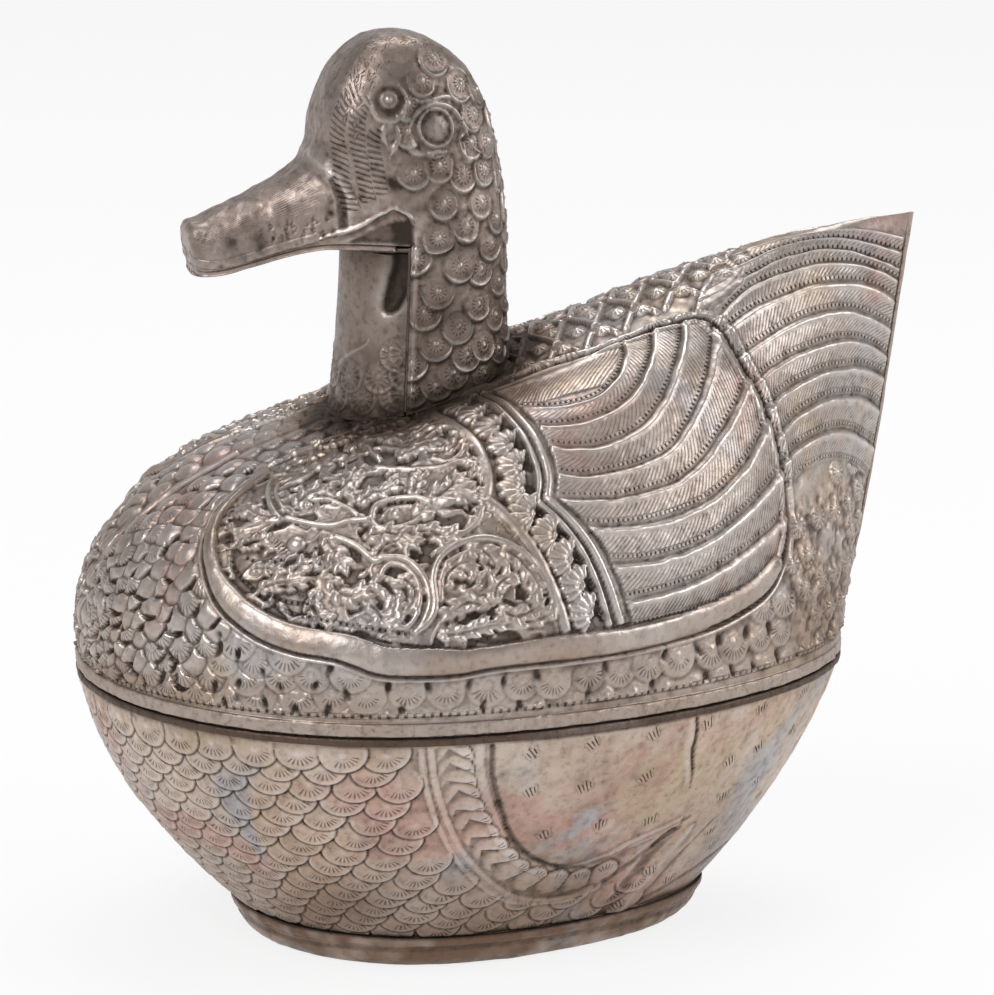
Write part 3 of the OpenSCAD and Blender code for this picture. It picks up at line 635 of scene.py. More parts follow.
class Bag:
    """Points and faces of one mesh."""

    def __init__(self):
        self.p, self.f, self.at, self.n = [], [], [], 0

    def points(self, p, skin=None):
        """Add places, with the values of a skin where one is given; returns their numbers."""
        ids = np.arange(self.n, self.n + p.size // 3).reshape(p.shape[:-1])
        self.p.append(p.reshape(-1, 3))
        self.at.append(np.stack([getattr(skin, key).ravel() for key in VALUES], -1)
                       if skin is not None else np.zeros((ids.size, len(VALUES))))
        self.n += ids.size
        return ids

    def quads(self, ids, flip=False, live=None):
        """Faces of a grid of point numbers, where all four corners are live."""
        q = np.stack([ids[:-1, :-1], ids[:-1, 1:], ids[1:, 1:], ids[1:, :-1]], -1)
        if live is not None:
            q = q[live[:-1, :-1] & live[:-1, 1:] & live[1:, 1:] & live[1:, :-1]]
        q = q.reshape(-1, 4)
        self.f.append(q[:, ::-1] if flip else q)

    def strip(self, a, b, flip=False):
        """Faces between two lines of point numbers."""
        self.quads(np.stack([a, b]), flip)

    def make(self, name, mat, body, slot, nodes=()):
        """Mesh that rides on a body and stands for the given nodes of the solids."""
        p, at = np.concatenate(self.p) * 0.001, np.concatenate(self.at)
        quads = np.concatenate(self.f)
        twins = (quads == np.roll(quads, -1, axis=1)).sum(axis=1)     # corners that coincide
        good, folded = quads[twins == 0], quads[twins == 1]
        tri = np.array([[x for k, x in enumerate(q) if x != q[k - 1]] for q in folded]).reshape(-1,
                                                                                                3)
        loops = np.concatenate([good.ravel(), tri.ravel()]).astype(np.int64)
        sizes = np.concatenate([np.full(len(good), 4), np.full(len(tri), 3)])
        used, loops = np.unique(loops, return_inverse=True)
        p, at = p[used], at[used]
        me = bpy.data.meshes.new(name)
        me.vertices.add(len(p))
        me.vertices.foreach_set("co", p.astype(np.float32).ravel())
        me.loops.add(len(loops))
        me.loops.foreach_set("vertex_index", loops.astype(np.int32).ravel())
        me.polygons.add(len(sizes))
        me.polygons.foreach_set("loop_start",
                                np.concatenate([[0], np.cumsum(sizes)[:-1]]).astype(np.int32))
        me.polygons.foreach_set("loop_total", sizes.astype(np.int32))
        me.polygons.foreach_set("use_smooth", np.ones(len(sizes), bool))
        for k, key in enumerate(VALUES):
            if np.any(at[:, k]):
                me.attributes.new(key, "FLOAT", "POINT").data.foreach_set("value",
                                                                          at[:,
                                                                             k].astype(np.float32))
        me.update(calc_edges=True)
        me.validate()
        ob = bpy.data.objects.new(name, me)
        bpy.context.collection.objects.link(ob)
        me.materials.append(mat)
        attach(ob, body)
        if nodes:
            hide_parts(*nodes)


def mirrored(p):
    """The same places on the far side."""
    return p * [1, -1, 1]


def grids(bag, near, skin, shared, poles=()):
    """Numbers of near and far points of a mirrored grid.

    shared lists the lines that lie in the plane of symmetry, and poles pairs each run of places
    that fall together with the one that stands for it."""
    a, b = bag.points(near, skin), bag.points(mirrored(near), skin)
    for line in shared:
        b[line] = a[line]
    for run, one in poles:
        a[run] = b[run] = a[one]
    return a, b


UPPER, LOWER = np.s_[:, 0], np.s_[:, -1]    # upper and lower edge of a grid


def closed_sheet(skin, inner, shared, rims, poles=(), live=None):
    """Bag with the raised outer grid, the plain inner one and strips between them, both halves.

    rims are lines of the outer and of the inner grid and whether the near strip is flipped."""
    bag = Bag()
    outer = grids(bag, skin.out(), skin, shared, poles)
    inner = grids(bag, inner, None, shared, poles)
    for far in (0, 1):
        bag.quads(outer[far], flip=not far, live=live)
        bag.quads(inner[far], flip=bool(far), live=live)
        for line, inner_line, flip in rims:
            bag.strip(outer[far][line], inner[far][inner_line], flip=flip != bool(far))
    return bag, outer, inner


# ---------------------------------------------------------------- materials
def nodes_of(name):
    """New material and its empty tree of nodes."""
    mat = bpy.data.materials.new(name)
    mat.use_nodes = True
    t = mat.node_tree
    t.nodes.clear()
    return mat, t


class Graph:
    """Short ways to add shader nodes to a tree; a value may also be another node's output."""

    def __init__(self, t):
        self.t = t

    def add(self, kind, **kw):
        n = self.t.nodes.new("ShaderNode" + kind)
        for k, v in kw.items():
            setattr(n, k, v)
        return n

    def link(self, a, b):
        self.t.links.new(a, b)

    def put(self, socket, v):
        if isinstance(v, bpy.types.NodeSocket):
            self.link(v, socket)
        else:
            socket.default_value = v

    def math(self, op, a, b=None, clamp=False):
        n = self.add("Math", operation=op, use_clamp=clamp)
        self.put(n.inputs[0], a)
        if b is not None:
            self.put(n.inputs[1], b)
        return n.outputs[0]

    def sum(self, a, b, clamp=False):
        return self.math("ADD", a, b, clamp)

    def times(self, a, b):
        return self.math("MULTIPLY", a, b)

    def centred(self, v, size):
        """A noise of mean one half as a number about 0."""
        return self.times(self.math("SUBTRACT", v, 0.5), size)

    def attr(self, name):
        return self.add("Attribute", attribute_type="GEOMETRY", attribute_name=name).outputs["Fac"]

    def noise(self, scale, detail, rough, vec, warp=0.0):
        n = self.add("TexNoise")
        for key, v in (("Scale", scale), ("Detail", detail), ("Roughness", rough),
                       ("Distortion", warp), ("Vector", vec)):
            self.put(n.inputs[key], v)
        return n.outputs["Fac"]

    def span(self, v, a, b):
        """Smooth step from 0 where v is a to 1 where v is b."""
        n = self.add("MapRange", interpolation_type="SMOOTHSTEP")
        for key, x in (("Value", v), ("From Min", a), ("From Max", b)):
            self.put(n.inputs[key], x)
        return n.outputs[0]

    def mix(self, f, a, b):
        """Colour a where f is 0 and b where f is 1."""
        n = self.add("Mix", data_type="RGBA")
        for k, v in ((0, f), (6, a), (7, b)):
            self.put(n.inputs[k], v)
        return n.outputs[2]

    def bump(self, height, strength, distance, normal=None):
        n = self.add("Bump")
        n.inputs["Strength"].default_value = strength
        n.inputs["Distance"].default_value = distance
        self.link(height, n.inputs["Height"])
        if normal is not None:
            self.link(normal, n.inputs["Normal"])
        return n.outputs[0]


OXIDE_SHADE_COLOUR, POLISH_HIGHLIGHT_COLOUR, GREY = (0.060, 0.043, 0.034), (0.74, 0.69, 0.655), (0.36, 0.30, 0.265)
TINTS = ((36.0, (0.31, 0.17, 0.05), (0.52, 0.40, 0.27)),       # patches: scale, shift, colour
         (32.0, (-0.21, 0.43, 0.11), (0.52, 0.31, 0.26)),
         (44.0, (0.11, -0.33, 0.27), (0.40, 0.41, 0.44)))


def silver(name, base, warm, tone=0.6, crust=0.5, rough=0.40, patina=0.0, hammer=0.4,
           stain_shade_colour=(0.20, 0.15, 0.118)):
    """Dull chased silver: warm toning, dark oxide and painted shade in what lies low, polish and
    painted highlights on what stands out.

    tone is the share of warm on the base colour, patina that of the tints, crust that of dark
    specks, and stain_shade_colour the colour of stains and of painted shade."""
    mat, t = nodes_of(name)
    g = Graph(t)
    out = g.add("OutputMaterial")
    sh = g.add("BsdfPrincipled")
    g.link(sh.outputs[0], out.inputs[0])
    pos = g.add("TexCoord").outputs["Object"]
    oxide_and_shade, polish_and_highlight, hatch, phase, stain_and_shade = (g.attr(key) for key in VALUES)
    line = g.times(g.span(g.math("SINE", g.times(phase, 2 * np.pi)), 0.05, 0.85), hatch)
    cloud = g.noise(55.0, 4.0, 0.55, pos, 0.6)
    wide = g.noise(24.0, 3.0, 0.6, pos, 0.8)
    grain = g.noise(900.0, 4.0, 0.6, pos)
    fine = g.noise(2600.0, 2.0, 0.5, pos)

    # colour
    col = g.mix(g.times(g.span(cloud, 0.35, 0.68), tone), (*base, 1), (*warm, 1))
    col = g.mix(g.times(g.span(wide, 0.5, 0.72), 0.35), col, (*GREY, 1))
    if patina:
        for scale, shift, tint in TINTS:
            moved = g.add("Mapping")
            moved.inputs["Location"].default_value = shift
            g.link(pos, moved.inputs["Vector"])
            patch = g.noise(scale, 3.0, 0.55, moved.outputs[0], 1.0)
            col = g.mix(g.times(g.span(patch, 0.52, 0.66), patina), col, (*tint, 1))
    mottle = g.noise(330.0, 6.0, 0.72, pos, 0.4)
    dull = tuple(0.5 * c for c in warm)
    col = g.mix(g.times(g.span(mottle, 0.46, 0.66), 0.32), col, (*dull, 1))
    # polish_and_highlight: worn polish on raised places, partly a painted highlight
    col = g.mix(g.times(polish_and_highlight, 0.6), col, (*POLISH_HIGHLIGHT_COLOUR, 1))
    # stain_and_shade: random stains, and painted shade at the neck's foot, under the jaw, down the
    # neck, in the throat's hollow, on the foot and the bowl's lower part
    col = g.mix(stain_and_shade, col, (*stain_shade_colour, 1))
    specks = g.times(g.span(grain, 0.48, 0.75), 0.5)
    # oxide_and_shade: oxide in hollows and struck lines, and painted shade
    low = g.sum(oxide_and_shade, g.times(line, 0.6))
    low = g.sum(low, g.times(specks, crust), clamp=True)
    g.link(g.mix(low, col, (*OXIDE_SHADE_COLOUR, 1)), sh.inputs["Base Color"])
    sh.inputs["Metallic"].default_value = 0.92
    # gloss
    r = g.sum(g.centred(cloud, 0.2), rough)
    r = g.sum(r, g.times(low, 0.25))
    r = g.math("SUBTRACT", r, g.times(polish_and_highlight, 0.08))
    g.link(g.sum(r, g.centred(grain, 0.25), clamp=True), sh.inputs["Roughness"])
    # fine form: struck lines, grain of the hammered sheet, wear
    struck = g.bump(g.times(line, -1.0), 1.0, 0.00013)
    hammered = g.bump(grain, hammer, 0.0002, struck)
    g.link(g.bump(fine, 0.3, 0.00006, hammered), sh.inputs["Normal"])
    return mat


m_lid = silver("silver_lid", base=(0.515, 0.465, 0.435), warm=(0.47, 0.375, 0.31), patina=0.5,
               crust=0.6, stain_shade_colour=(0.31, 0.222, 0.165))
m_bowl = silver("silver_bowl", base=(0.57, 0.47, 0.40), warm=(0.57, 0.40, 0.295), tone=0.75,
                patina=0.8, crust=0.55, stain_shade_colour=(0.17, 0.105, 0.07))
m_head = silver("silver_head", base=(0.37, 0.305, 0.27), warm=(0.31, 0.235, 0.195), crust=0.75,
                stain_shade_colour=(0.12, 0.087, 0.068))
m_solder = silver("silver_solder", base=(0.15, 0.12, 0.10), warm=(0.10, 0.075, 0.06), rough=0.55,
                  crust=0.9)
m_rim = silver("silver_rim", base=(0.42, 0.35, 0.305), warm=(0.40, 0.30, 0.24), rough=0.47,
               hammer=0.9, crust=0.9)
m_wire = silver("silver_wire", base=(0.115, 0.08, 0.06), warm=(0.08, 0.055, 0.04), rough=0.5,
                crust=1.0, hammer=0.9)
m_in = silver("silver_inside", base=(0.58, 0.54, 0.50), warm=(0.52, 0.46, 0.41), rough=0.34,
              crust=0.3)


# ---------------------------------------------------------------- places read off pictures
def reader(x0, y0, x1, y1):
    """Turns points of a picture into places; (0, 0) lies at x0, y0 and (1, 1) at x1, y1 from it."""
    return lambda pts: [(x0 + x * x1, y0 + y * y1) for x, y in pts]


wing_px = reader(200, 390, 1 / 3, 1 / 3)          # pixels of the photograph, off enlarged crops
head_px = reader(180, 30, 1 / 3, 1 / 3)
tail_uv = reader(0.45, -0.1, 0.55 / 1200, 0.0011)  # u, v off a flattened view of wing and tail
bowl_uv = reader(0.02, 0.0, 0.98 / 1500, 1 / 700)  # u, v off a flattened view of the bowl


def arc(radius, angles):
    """Points of an arc in mm; its angles run from straight down towards the tail."""
    return [(radius * sind(t), radius * cosd(t)) for t in angles]


# ---------------------------------------------------------------- the lid
def spaced(marks, cells):
    """Places from 0 to 1 with a given number of cells between the marks."""
    runs = zip(marks[:-1], marks[1:], cells)
    return np.concatenate([np.linspace(a, b, n, endpoint=False) for a, b, n in runs] + [[1.0]])


lid_us = spaced([0, .22, .66, 1], [int(35 / STEP), int(70 / CELL), int(54 / STEP)])
lid_vs = spaced([0, .12, .86, 1], [int(9.6 / CELL) // 9 * 9, int(60 / CELL) // 9 * 9,
                                   int(9.6 / CELL) // 9 * 9])
NS, NV = len(lid_us), len(lid_vs)
lid = Skin(lid_point, lid_us, lid_vs)
lid.N[:, 0, 1] = 0
lid.N = unit(lid.N)

OUT_FRONT = [(.318, .158), (.282, .2), (.252, .263), (.241, .362), (.237, .47), (.243, .58),
             (.2545, .66), (.273, .72), (.30, .775), (.336, .813), (.377, .835), (.418, .873),
             (.4545, .885), (.5, .89), (.54, .882), (.633, .89), (.707, .887), (.7525, .873),
             (.78, .855), (.798, .824), (.81, .78), (.814, .736), (.814, .67), (.81, .604),
             (.803, .516), (.791, .428), (.785, .34), (.778, .285), (.766, .2575)]
TOP_LINE = [(.766, .2575), (.725, .23), (.6975, .219), (.656, .2025), (.61, .175), (.565, .17),
            (.52, .175), (.473, .17), (.4545, .147), (.40, .14), (.364, .1475), (.318, .158)]
IN_EDGE = [(.318, .188), (.29, .22), (.27, .263), (.259, .318), (.254, .395), (.253, .472),
           (.259, .55), (.273, .615), (.295, .68), (.327, .73), (.364, .758), (.4, .78),
           (.436, .807), (.473, .824), (.5, .835), (.519, .835), (.574, .83), (.633, .84),
           (.68, .84), (.725, .835), (.76, .824), (.79, .797)]
REAR_LINE = OUT_FRONT[19:]
SCALLOP_IN = [[(.487, .17), (.487, .219), (.50, .296), (.514, .362), (.521, .428), (.522, .483),
               (.518, .5215)],
              [(.518, .5215), (.5325, .56), (.551, .626), (.5646, .692), (.576, .769),
               (.583, .832)]]
SCALLOP_OUT = [[(.535, .172), (.537, .19), (.5485, .252), (.56, .329), (.569, .395), (.574, .461),
                (.5747, .505), (.57, .549)],
               [(.57, .549), (.5875, .604), (.6035, .67), (.615, .747), (.624, .837)]]


def dense(pts, n=12):
    """Close places along a line of (u, v) points, n for each of them."""
    return along(np.asarray(pts, float), np.linspace(0, 1, n * len(pts)))


wing_out = np.concatenate([dense(OUT_FRONT), dense(TOP_LINE)])
wing_in = np.concatenate([dense(IN_EDGE), dense(REAR_LINE), dense(TOP_LINE)])
U, V = lid.U, lid.V
in_wing = inside(wing_out, U, V)
in_field = inside(wing_in, U, V)
lid.H += bumps(lid.P, (0.09, 3.0, 1), (0.06, 1.3, 2))


def lattice(skin, u0, u1, v0, v1, du_mm, dv_mm, jitter):
    """Offset rows of places from the lowest row upwards: u, v and the row's number."""
    places, row, v = [], 0, v1
    while v > v0:
        u = u0
        while u < u1:
            a = skin.frame(skin.ij(u, v))[0]
            step = du_mm / max(np.linalg.norm(a), 0.05) \
                * np.interp(u, skin.us[:-1], np.diff(skin.us))
            if u == u0 and row % 2:
                u += step / 2
            places.append((u + rng.uniform(-jitter, jitter) * step,
                           v + rng.uniform(-jitter, jitter) * 0.03, row))
            u += step
        b = skin.frame(skin.ij((u0 + u1) / 2, v))[1]
        v -= dv_mm / max(np.linalg.norm(b), 0.05) * np.interp(v, skin.vs[:-1], np.diff(skin.vs))
        row += 1
    return places


def pit(skin, q, depth, long, wide, turn, dark):
    """Struck hollow, long and narrow, set aslant."""
    sl, a, b = skin.spot(q, 2.2 * long, turn)
    f = np.exp(-(a / long) ** 2 - (b / wide) ** 2)
    skin.H[sl] -= depth * f
    skin.blacken(sl, dark * f)


# breast, lower edge of the wing and rear: scales with pits and rims between them
tail_low = dense(tail_uv([(800, 725), (850, 715), (900, 712), (960, 718), (1030, 735), (1120, 765),
                          (1200, 790)]))

lid.H -= 0.30 * soft(.30, .26, U) * soft(.95, .88, V)
pits, rims = [], []
for u, v, row in lattice(lid, 0.015, 0.995, 0.02, 0.978, 5.7, 3.9, 0.12):
    if inside(wing_out, np.array(u), np.array(v)):
        continue
    q = lid.ij(u, v)
    breast = u < 0.25 or (v < 0.75 and u < 0.3)
    if u > 0.8 and v < np.interp(u, [.8, .86, .93, 1], [.72, .68, .70, .78]):
        continue
    if v < 0.14 and u > 0.3:
        continue
    if breast and v < 0.88:
        r = rng.uniform(2.3, 3.05)
        lid.scale(q, r, turn=-22 + rng.uniform(-28, 28), rise=rng.uniform(0.35, 0.65), drop=0.7,
                  squash=rng.uniform(0.95, 1.2), base=rng.uniform(-0.25, -0.02),
                  fan=0.6 * (rng.random() < 0.45), rays=2.8, lip=rng.uniform(0, 0.1), disc=True)
        sl, a, b = lid.spot(q, r)
        lid.H[sl] += rng.uniform(0.3, 0.7) \
            * np.maximum(1 - (a ** 2 + (b - 0.3) ** 2) / (0.95 * r) ** 2, 0)
        if rng.random() < 0.7:
            t0 = rng.uniform(-80, 30)
            rims.append((q, 0.98 * r, t0, t0 + rng.uniform(45, 85), rng.uniform(0.35, 0.75)))
    elif u > 0.8:
        if row % 2 == 0 or rng.random() < 0.75:
            lid.scale(q, rng.uniform(1.9, 2.3), rise=0.5, drop=0.6, dot=0.36, lip=0.2, fan=0.7,
                      rays=1.8, ring=0.12, full=150)
    else:
        lid.scale(q, rng.uniform(3.1, 3.8), turn=rng.uniform(-16, 16),
                  rise=rng.uniform(0.45, 0.75), drop=0.9, dot=rng.uniform(0.1, 0.4),
                  fan=rng.uniform(0.5, 0.9), rays=rng.uniform(2.8, 3.6), lip=0.08, ring=0.08,
                  fan_in=0.30, fan_out=rng.uniform(0.55, 0.72), full=rng.uniform(55, 85),
                  base=rng.uniform(-0.22, 0.0), disc=rng.random() < 0.5)
        if rng.random() < 0.75:
            pits.append((q, rng.uniform(0.35, 0.75), rng.uniform(0.7, 1.2), rng.uniform(0.4, 0.62),
                         90 + rng.uniform(-35, 35), -2.85 + rng.uniform(-.3, .3),
                         -0.8 + rng.uniform(-.6, .6), rng.uniform(0.2, 0.5)))
for q, r, t0, t1, depth in rims:
    line = lid.local(q, arc(r, np.linspace(t0, t1, 5)))
    if lid.within(line):
        lid.blade(along(line, np.linspace(0, 1, 14)), 0.75, -depth, foot=0.1, sharp=0.8, how="add")
        lid.bead(along(line, np.linspace(0.2, 0.8, 8)), 0.5, 0.0, dark=0.6 * depth)
for q, depth, long, wide, turn, dx, dy, dark in pits:
    p = lid.local(q, [(dx, dy)])[0]
    if 1 < p[0] < NS - 2 and 1 < p[1] < NV - 2:
        pit(lid, p, depth, long, wide, turn, dark)

lid.H += (U < .3) * soft(.30, .22, U) * soft(.95, .86, V) \
    * bumps(lid.P, (0.14, 2.2, 14), (0.09, 1.0, 15))
lid.H += soft(.80, .86, V) * bumps(lid.P, (0.10, 2.0, 26), (0.06, 0.9, 27))
lid.H += soft(.79, .82, U) * soft(.70, .76, V) * bumps(lid.P, (0.34, 1.7, 24), (0.16, 0.8, 25))
# bright crease of the breast
crease = lid.curve([(s, 0.0) for s in np.linspace(0.03, 0.33, 14)])
lid.bead(crease, 1.9, -0.25)
lid.bead(crease, 0.8, 0.75)

# wing: plain raised border, then the three panels
d_out, d_in = (lid.field(lid.curve(line), 7.0)[0] for line in (OUT_FRONT, IN_EDGE))
border = (in_wing & ~in_field).ravel() & (d_out < 4.2)
sheet_p = lid.P.reshape(-1, 3)
h, hatch, dark = lid.H.ravel(), lid.hatch.ravel(), lid.dark.ravel()
for values in (h, hatch, dark):
    values[in_wing.ravel()] = 0
x = d_out[border] / np.maximum(d_out + d_in, 1e-6)[border]
h[border] = 0.10 + 0.80 * np.maximum(1 - np.abs(2 * x - 1) ** 2.5, 0) ** 0.55 \
    + bumps(sheet_p[border], (0.13, 3.4, 4), (0.07, 1.3, 5))
# the breast dies away towards it, down a groove with a bright ridge before it
beside = ~in_wing.ravel() & (d_out < 1.5)
d = d_out[beside]
h[beside] = h[beside] * soft(0.9, 1.5, d) - 0.26 * np.exp(-((d - 0.2) / 0.28) ** 2) \
    + 0.28 * np.exp(-((d - 0.85) / 0.24) ** 2)
dark[beside] = np.maximum(dark[beside] * soft(0.9, 1.5, d),
                          0.32 * np.exp(-((d - 0.15) / 0.22) ** 2))
hatch[beside] *= soft(0.9, 1.4, d)
lid.bead(lid.curve(IN_EDGE[:19]), 0.42, -0.28, dark=0.2)
lid.stain_and_shade.ravel()[border] = 0.34 + 0.25 * noise(sheet_p[border], 7.0, 6)

# panel of foliage
foliage = np.concatenate([dense(IN_EDGE[:17]), dense(SCALLOP_IN[1][::-1]),
                          dense(SCALLOP_IN[0][::-1]),
                          dense([(.487, .17), (.473, .17), (.4545, .147), (.40, .14),
                                 (.364, .1475), (.318, .158)])])
in_foliage = inside(foliage, U, V)


def warped(p, size, seed, bend):
    """Noise pulled about by other noise, so that its level lines curl like leaves."""
    pull = np.stack([noise(p, 1.5 * size, seed + k) for k in (1, 2, 3)], -1)
    return noise(p + bend * pull, size, seed)


curls = warped(lid.P, 2.3, 200, 1.7)
veins = warped(lid.P, 1.5, 210, 1.0)
curls = (curls - np.median(curls[in_foliage])) / np.std(curls[in_foliage])
ground = -0.44 + 0.54 * soft(-0.60, -0.05, curls) + 0.18 * np.exp(-((curls - 0.35) / 0.25) ** 2) \
    - 0.16 * np.exp(-(veins / (0.14 * np.std(veins))) ** 2) * (curls > 0.5) \
    + 0.04 * noise(lid.P, 0.8, 6)
lid.H = np.where(in_foliage, ground, lid.H)


def wing_at(x, y):
    """Grid place of the lid at a pixel of the wing."""
    return lid.seen(*wing_px([(x, y)])[0])


# small curled blades over the whole ground, along the sweep of the scrolls
for _ in range(70):
    u, v = rng.uniform(.25, .585), rng.uniform(.15, .83)
    ang, size, bend = rng.uniform(0, 360), rng.uniform(1.6, 3.0), rng.uniform(-80, 80)
    if not inside(foliage, np.array(u), np.array(v)):
        continue
    q = lid.ij(u, v)
    half, end = 0.5 * size, ang + bend
    line = lid.local(q, [(0, 0), (half * cosd(ang), half * sind(ang)),
                         (half * (cosd(ang) + cosd(end)), half * (sind(ang) + sind(end)))])
    if lid.within(line):
        lid.blade(along(line, np.linspace(0, 1, 12)), rng.uniform(0.4, 0.7),
                  rng.uniform(0.18, 0.42))
# leaves: points of the rib, width, pairs of blades
for pts, w, pairs in (
        ([(650, 385), (700, 335), (760, 305), (850, 335)], 2.9, 3),
        ([(820, 300), (850, 320), (870, 350)], 1.4, 2),
        ([(640, 430), (690, 425), (740, 440), (800, 425)], 2.1, 4),
        ([(500, 440), (560, 430), (610, 445), (665, 490)], 2.4, 4),
        ([(520, 510), (555, 470), (600, 455), (640, 470)], 1.9, 3),
        ([(375, 440), (400, 480), (425, 520), (440, 560)], 2.1, 3),
        ([(395, 570), (420, 610), (470, 620), (520, 585)], 2.3, 4),
        ([(520, 580), (560, 590), (590, 640), (560, 690)], 2.5, 4),
        ([(600, 560), (640, 590), (640, 640), (600, 680)], 1.9, 3),
        ([(500, 640), (530, 660), (560, 700), (620, 715)], 1.9, 3),
        ([(730, 600), (745, 550), (790, 520), (840, 530)], 2.0, 3),
        ([(780, 600), (810, 590), (830, 560), (815, 530)], 1.5, 3),
        ([(800, 480), (850, 485), (885, 520), (880, 560)], 2.3, 3),
        ([(880, 640), (890, 590), (930, 560), (960, 580)], 1.9, 3),
        ([(900, 660), (950, 680), (1000, 660), (1040, 620)], 2.3, 4),
        ([(900, 480), (950, 500), (1000, 560), (1030, 630)], 2.1, 4),
        ([(860, 650), (810, 640), (770, 655), (720, 700)], 2.1, 4),
        ([(720, 740), (790, 730), (860, 710), (940, 690)], 1.7, 5),
        ([(960, 700), (1010, 690), (1050, 670), (1070, 640)], 1.5, 3),
        ([(270, 560), (300, 530), (335, 520), (365, 500)], 2.0, 3),
        ([(180, 600), (230, 580), (280, 575), (340, 565)], 1.9, 4),
        ([(350, 600), (340, 650), (365, 690), (420, 705)], 1.9, 4),
        ([(240, 385), (200, 380), (160, 370), (115, 345)], 1.8, 4),
        ([(120, 470), (155, 460), (190, 450), (220, 430)], 1.6, 3),
        ([(150, 540), (190, 535), (230, 540), (270, 550)], 1.5, 3),
        ([(290, 350), (330, 310), (370, 295), (420, 300)], 2.1, 4),
        ([(400, 320), (430, 290), (460, 260), (470, 225)], 1.9, 3),
        ([(480, 340), (520, 310), (560, 300), (600, 270)], 1.9, 4),
        ([(640, 320), (645, 290), (660, 265), (650, 240)], 1.7, 3),
        ([(690, 330), (740, 300), (770, 270), (800, 250)], 1.9, 4),
        ([(300, 250), (350, 230), (400, 215), (440, 190)], 1.8, 4),
        ([(250, 240), (290, 215), (340, 200), (380, 195)], 1.5, 3),
        ([(440, 180), (500, 150), (560, 140), (610, 160)], 1.8, 4),
        ([(600, 200), (640, 180), (680, 160), (730, 170)], 2.0, 3),
        ([(640, 140), (680, 115), (720, 105), (750, 115)], 1.7, 3),
        ([(740, 190), (770, 165), (775, 135), (760, 110)], 1.5, 3),
        ([(790, 220), (820, 215), (840, 240), (840, 280)], 1.5, 3),
        ([(470, 120), (520, 110), (570, 100), (620, 95)], 1.4, 4),
        ([(350, 170), (400, 160), (430, 150), (470, 140)], 1.4, 3)):
    lid.acanthus(lid.photo(wing_px(pts)), 1.2 * w, rng.uniform(0.62, 0.8), pairs,
                 rng.uniform(0.6, 1.2))
# scroll rings and stems: points, half width, height
for pts, w, high in (
        ([(400, 440), (470, 470), (520, 510), (560, 505), (620, 510), (672, 560), (690, 630),
          (670, 700), (640, 735)], .55, .8),
        ([(535, 570), (560, 530), (600, 525), (645, 560), (660, 620), (640, 690), (600, 715),
          (540, 700)], .42, .65),
        ([(640, 735), (690, 690), (705, 640), (700, 560), (725, 500), (780, 460), (860, 445),
          (940, 470), (1000, 520), (1045, 590), (1065, 650), (1060, 690)], .55, .85),
        ([(722, 640), (725, 570), (745, 520), (800, 490), (850, 488)], .4, .62),
        ([(1030, 640), (1010, 590), (970, 540), (900, 505)], .38, .6),
        ([(510, 390), (530, 350), (580, 328), (650, 325), (700, 345)], .5, .75),
        ([(510, 390), (540, 415), (600, 410), (650, 392), (685, 350)], .45, .7),
        ([(545, 385), (570, 360), (610, 352), (650, 350)], .38, .5),
        ([(250, 385), (320, 400), (390, 410), (450, 395), (510, 390)], .48, .75),
        ([(190, 395), (240, 390), (215, 350), (208, 300), (225, 265), (265, 255)], .45, .65),
        ([(250, 365), (230, 320), (240, 285), (280, 265)], .36, .5),
        ([(520, 235), (580, 238), (650, 240), (720, 235), (790, 215), (830, 225)], .48, .7),
        ([(540, 205), (515, 185), (545, 175), (620, 185)], .4, .6),
        ([(700, 140), (740, 165), (720, 180), (690, 165)], .4, .6),
        ([(730, 100), (775, 130), (785, 180), (750, 215), (690, 205)], .45, .6),
        ([(330, 330), (380, 330), (430, 350), (480, 380)], .4, .55),
        ([(850, 345), (830, 400), (760, 450), (700, 490)], .42, .6)):
    lid.bead(lid.photo(wing_px(pts)), 1.15 * w, 0.85 * high, "max")
# bosses: pixel, radius, height
for x0, y0, r, high in ((290, 462, 1.5, 1.05), (590, 372, 0.8, .6), (785, 560, 0.8, .8),
                        (905, 600, 0.8, .8), (575, 625, 0.75, .8), (412, 500, 0.8, .7),
                        (330, 345, 0.6, .6), (700, 155, 0.6, .6), (640, 270, 0.6, .55),
                        (440, 250, 0.6, .6)):
    sl, a, b = lid.spot(wing_at(x0, y0), r * 1.5)
    rr = np.hypot(a, b) / r
    lid.H[sl] = np.maximum(lid.H[sl], high * np.sqrt(np.maximum(1 - rr ** 2, 0)))
# hollows: pixel, half length, direction
for x0, y0, long, turn in ((330, 500, 1.3, 40), (440, 590, 1.6, 10), (560, 590, 1.4, 60),
                           (620, 620, 1.2, 90), (270, 520, 1.5, -10), (250, 590, 1.6, 0),
                           (150, 460, 1.4, 0), (800, 580, 1.3, 20), (870, 530, 1.2, 45),
                           (930, 640, 1.6, 30), (790, 350, 1.8, 15), (640, 490, 1.2, 30),
                           (570, 480, 1.2, 0), (770, 690, 1.8, -15), (840, 670, 1.3, 0),
                           (410, 300, 1.3, -30), (460, 210, 1.2, -20), (620, 205, 1.5, 0),
                           (350, 270, 1.3, -30), (730, 140, 1.0, 40), (980, 640, 1.2, 60),
                           (690, 440, 1.3, 10), (500, 420, 1.1, 70), (330, 650, 1.2, 40),
                           (540, 650, 1.2, 60)):
    pit(lid, wing_at(x0, y0), 0.42, long, 0.5, turn, 0.55)
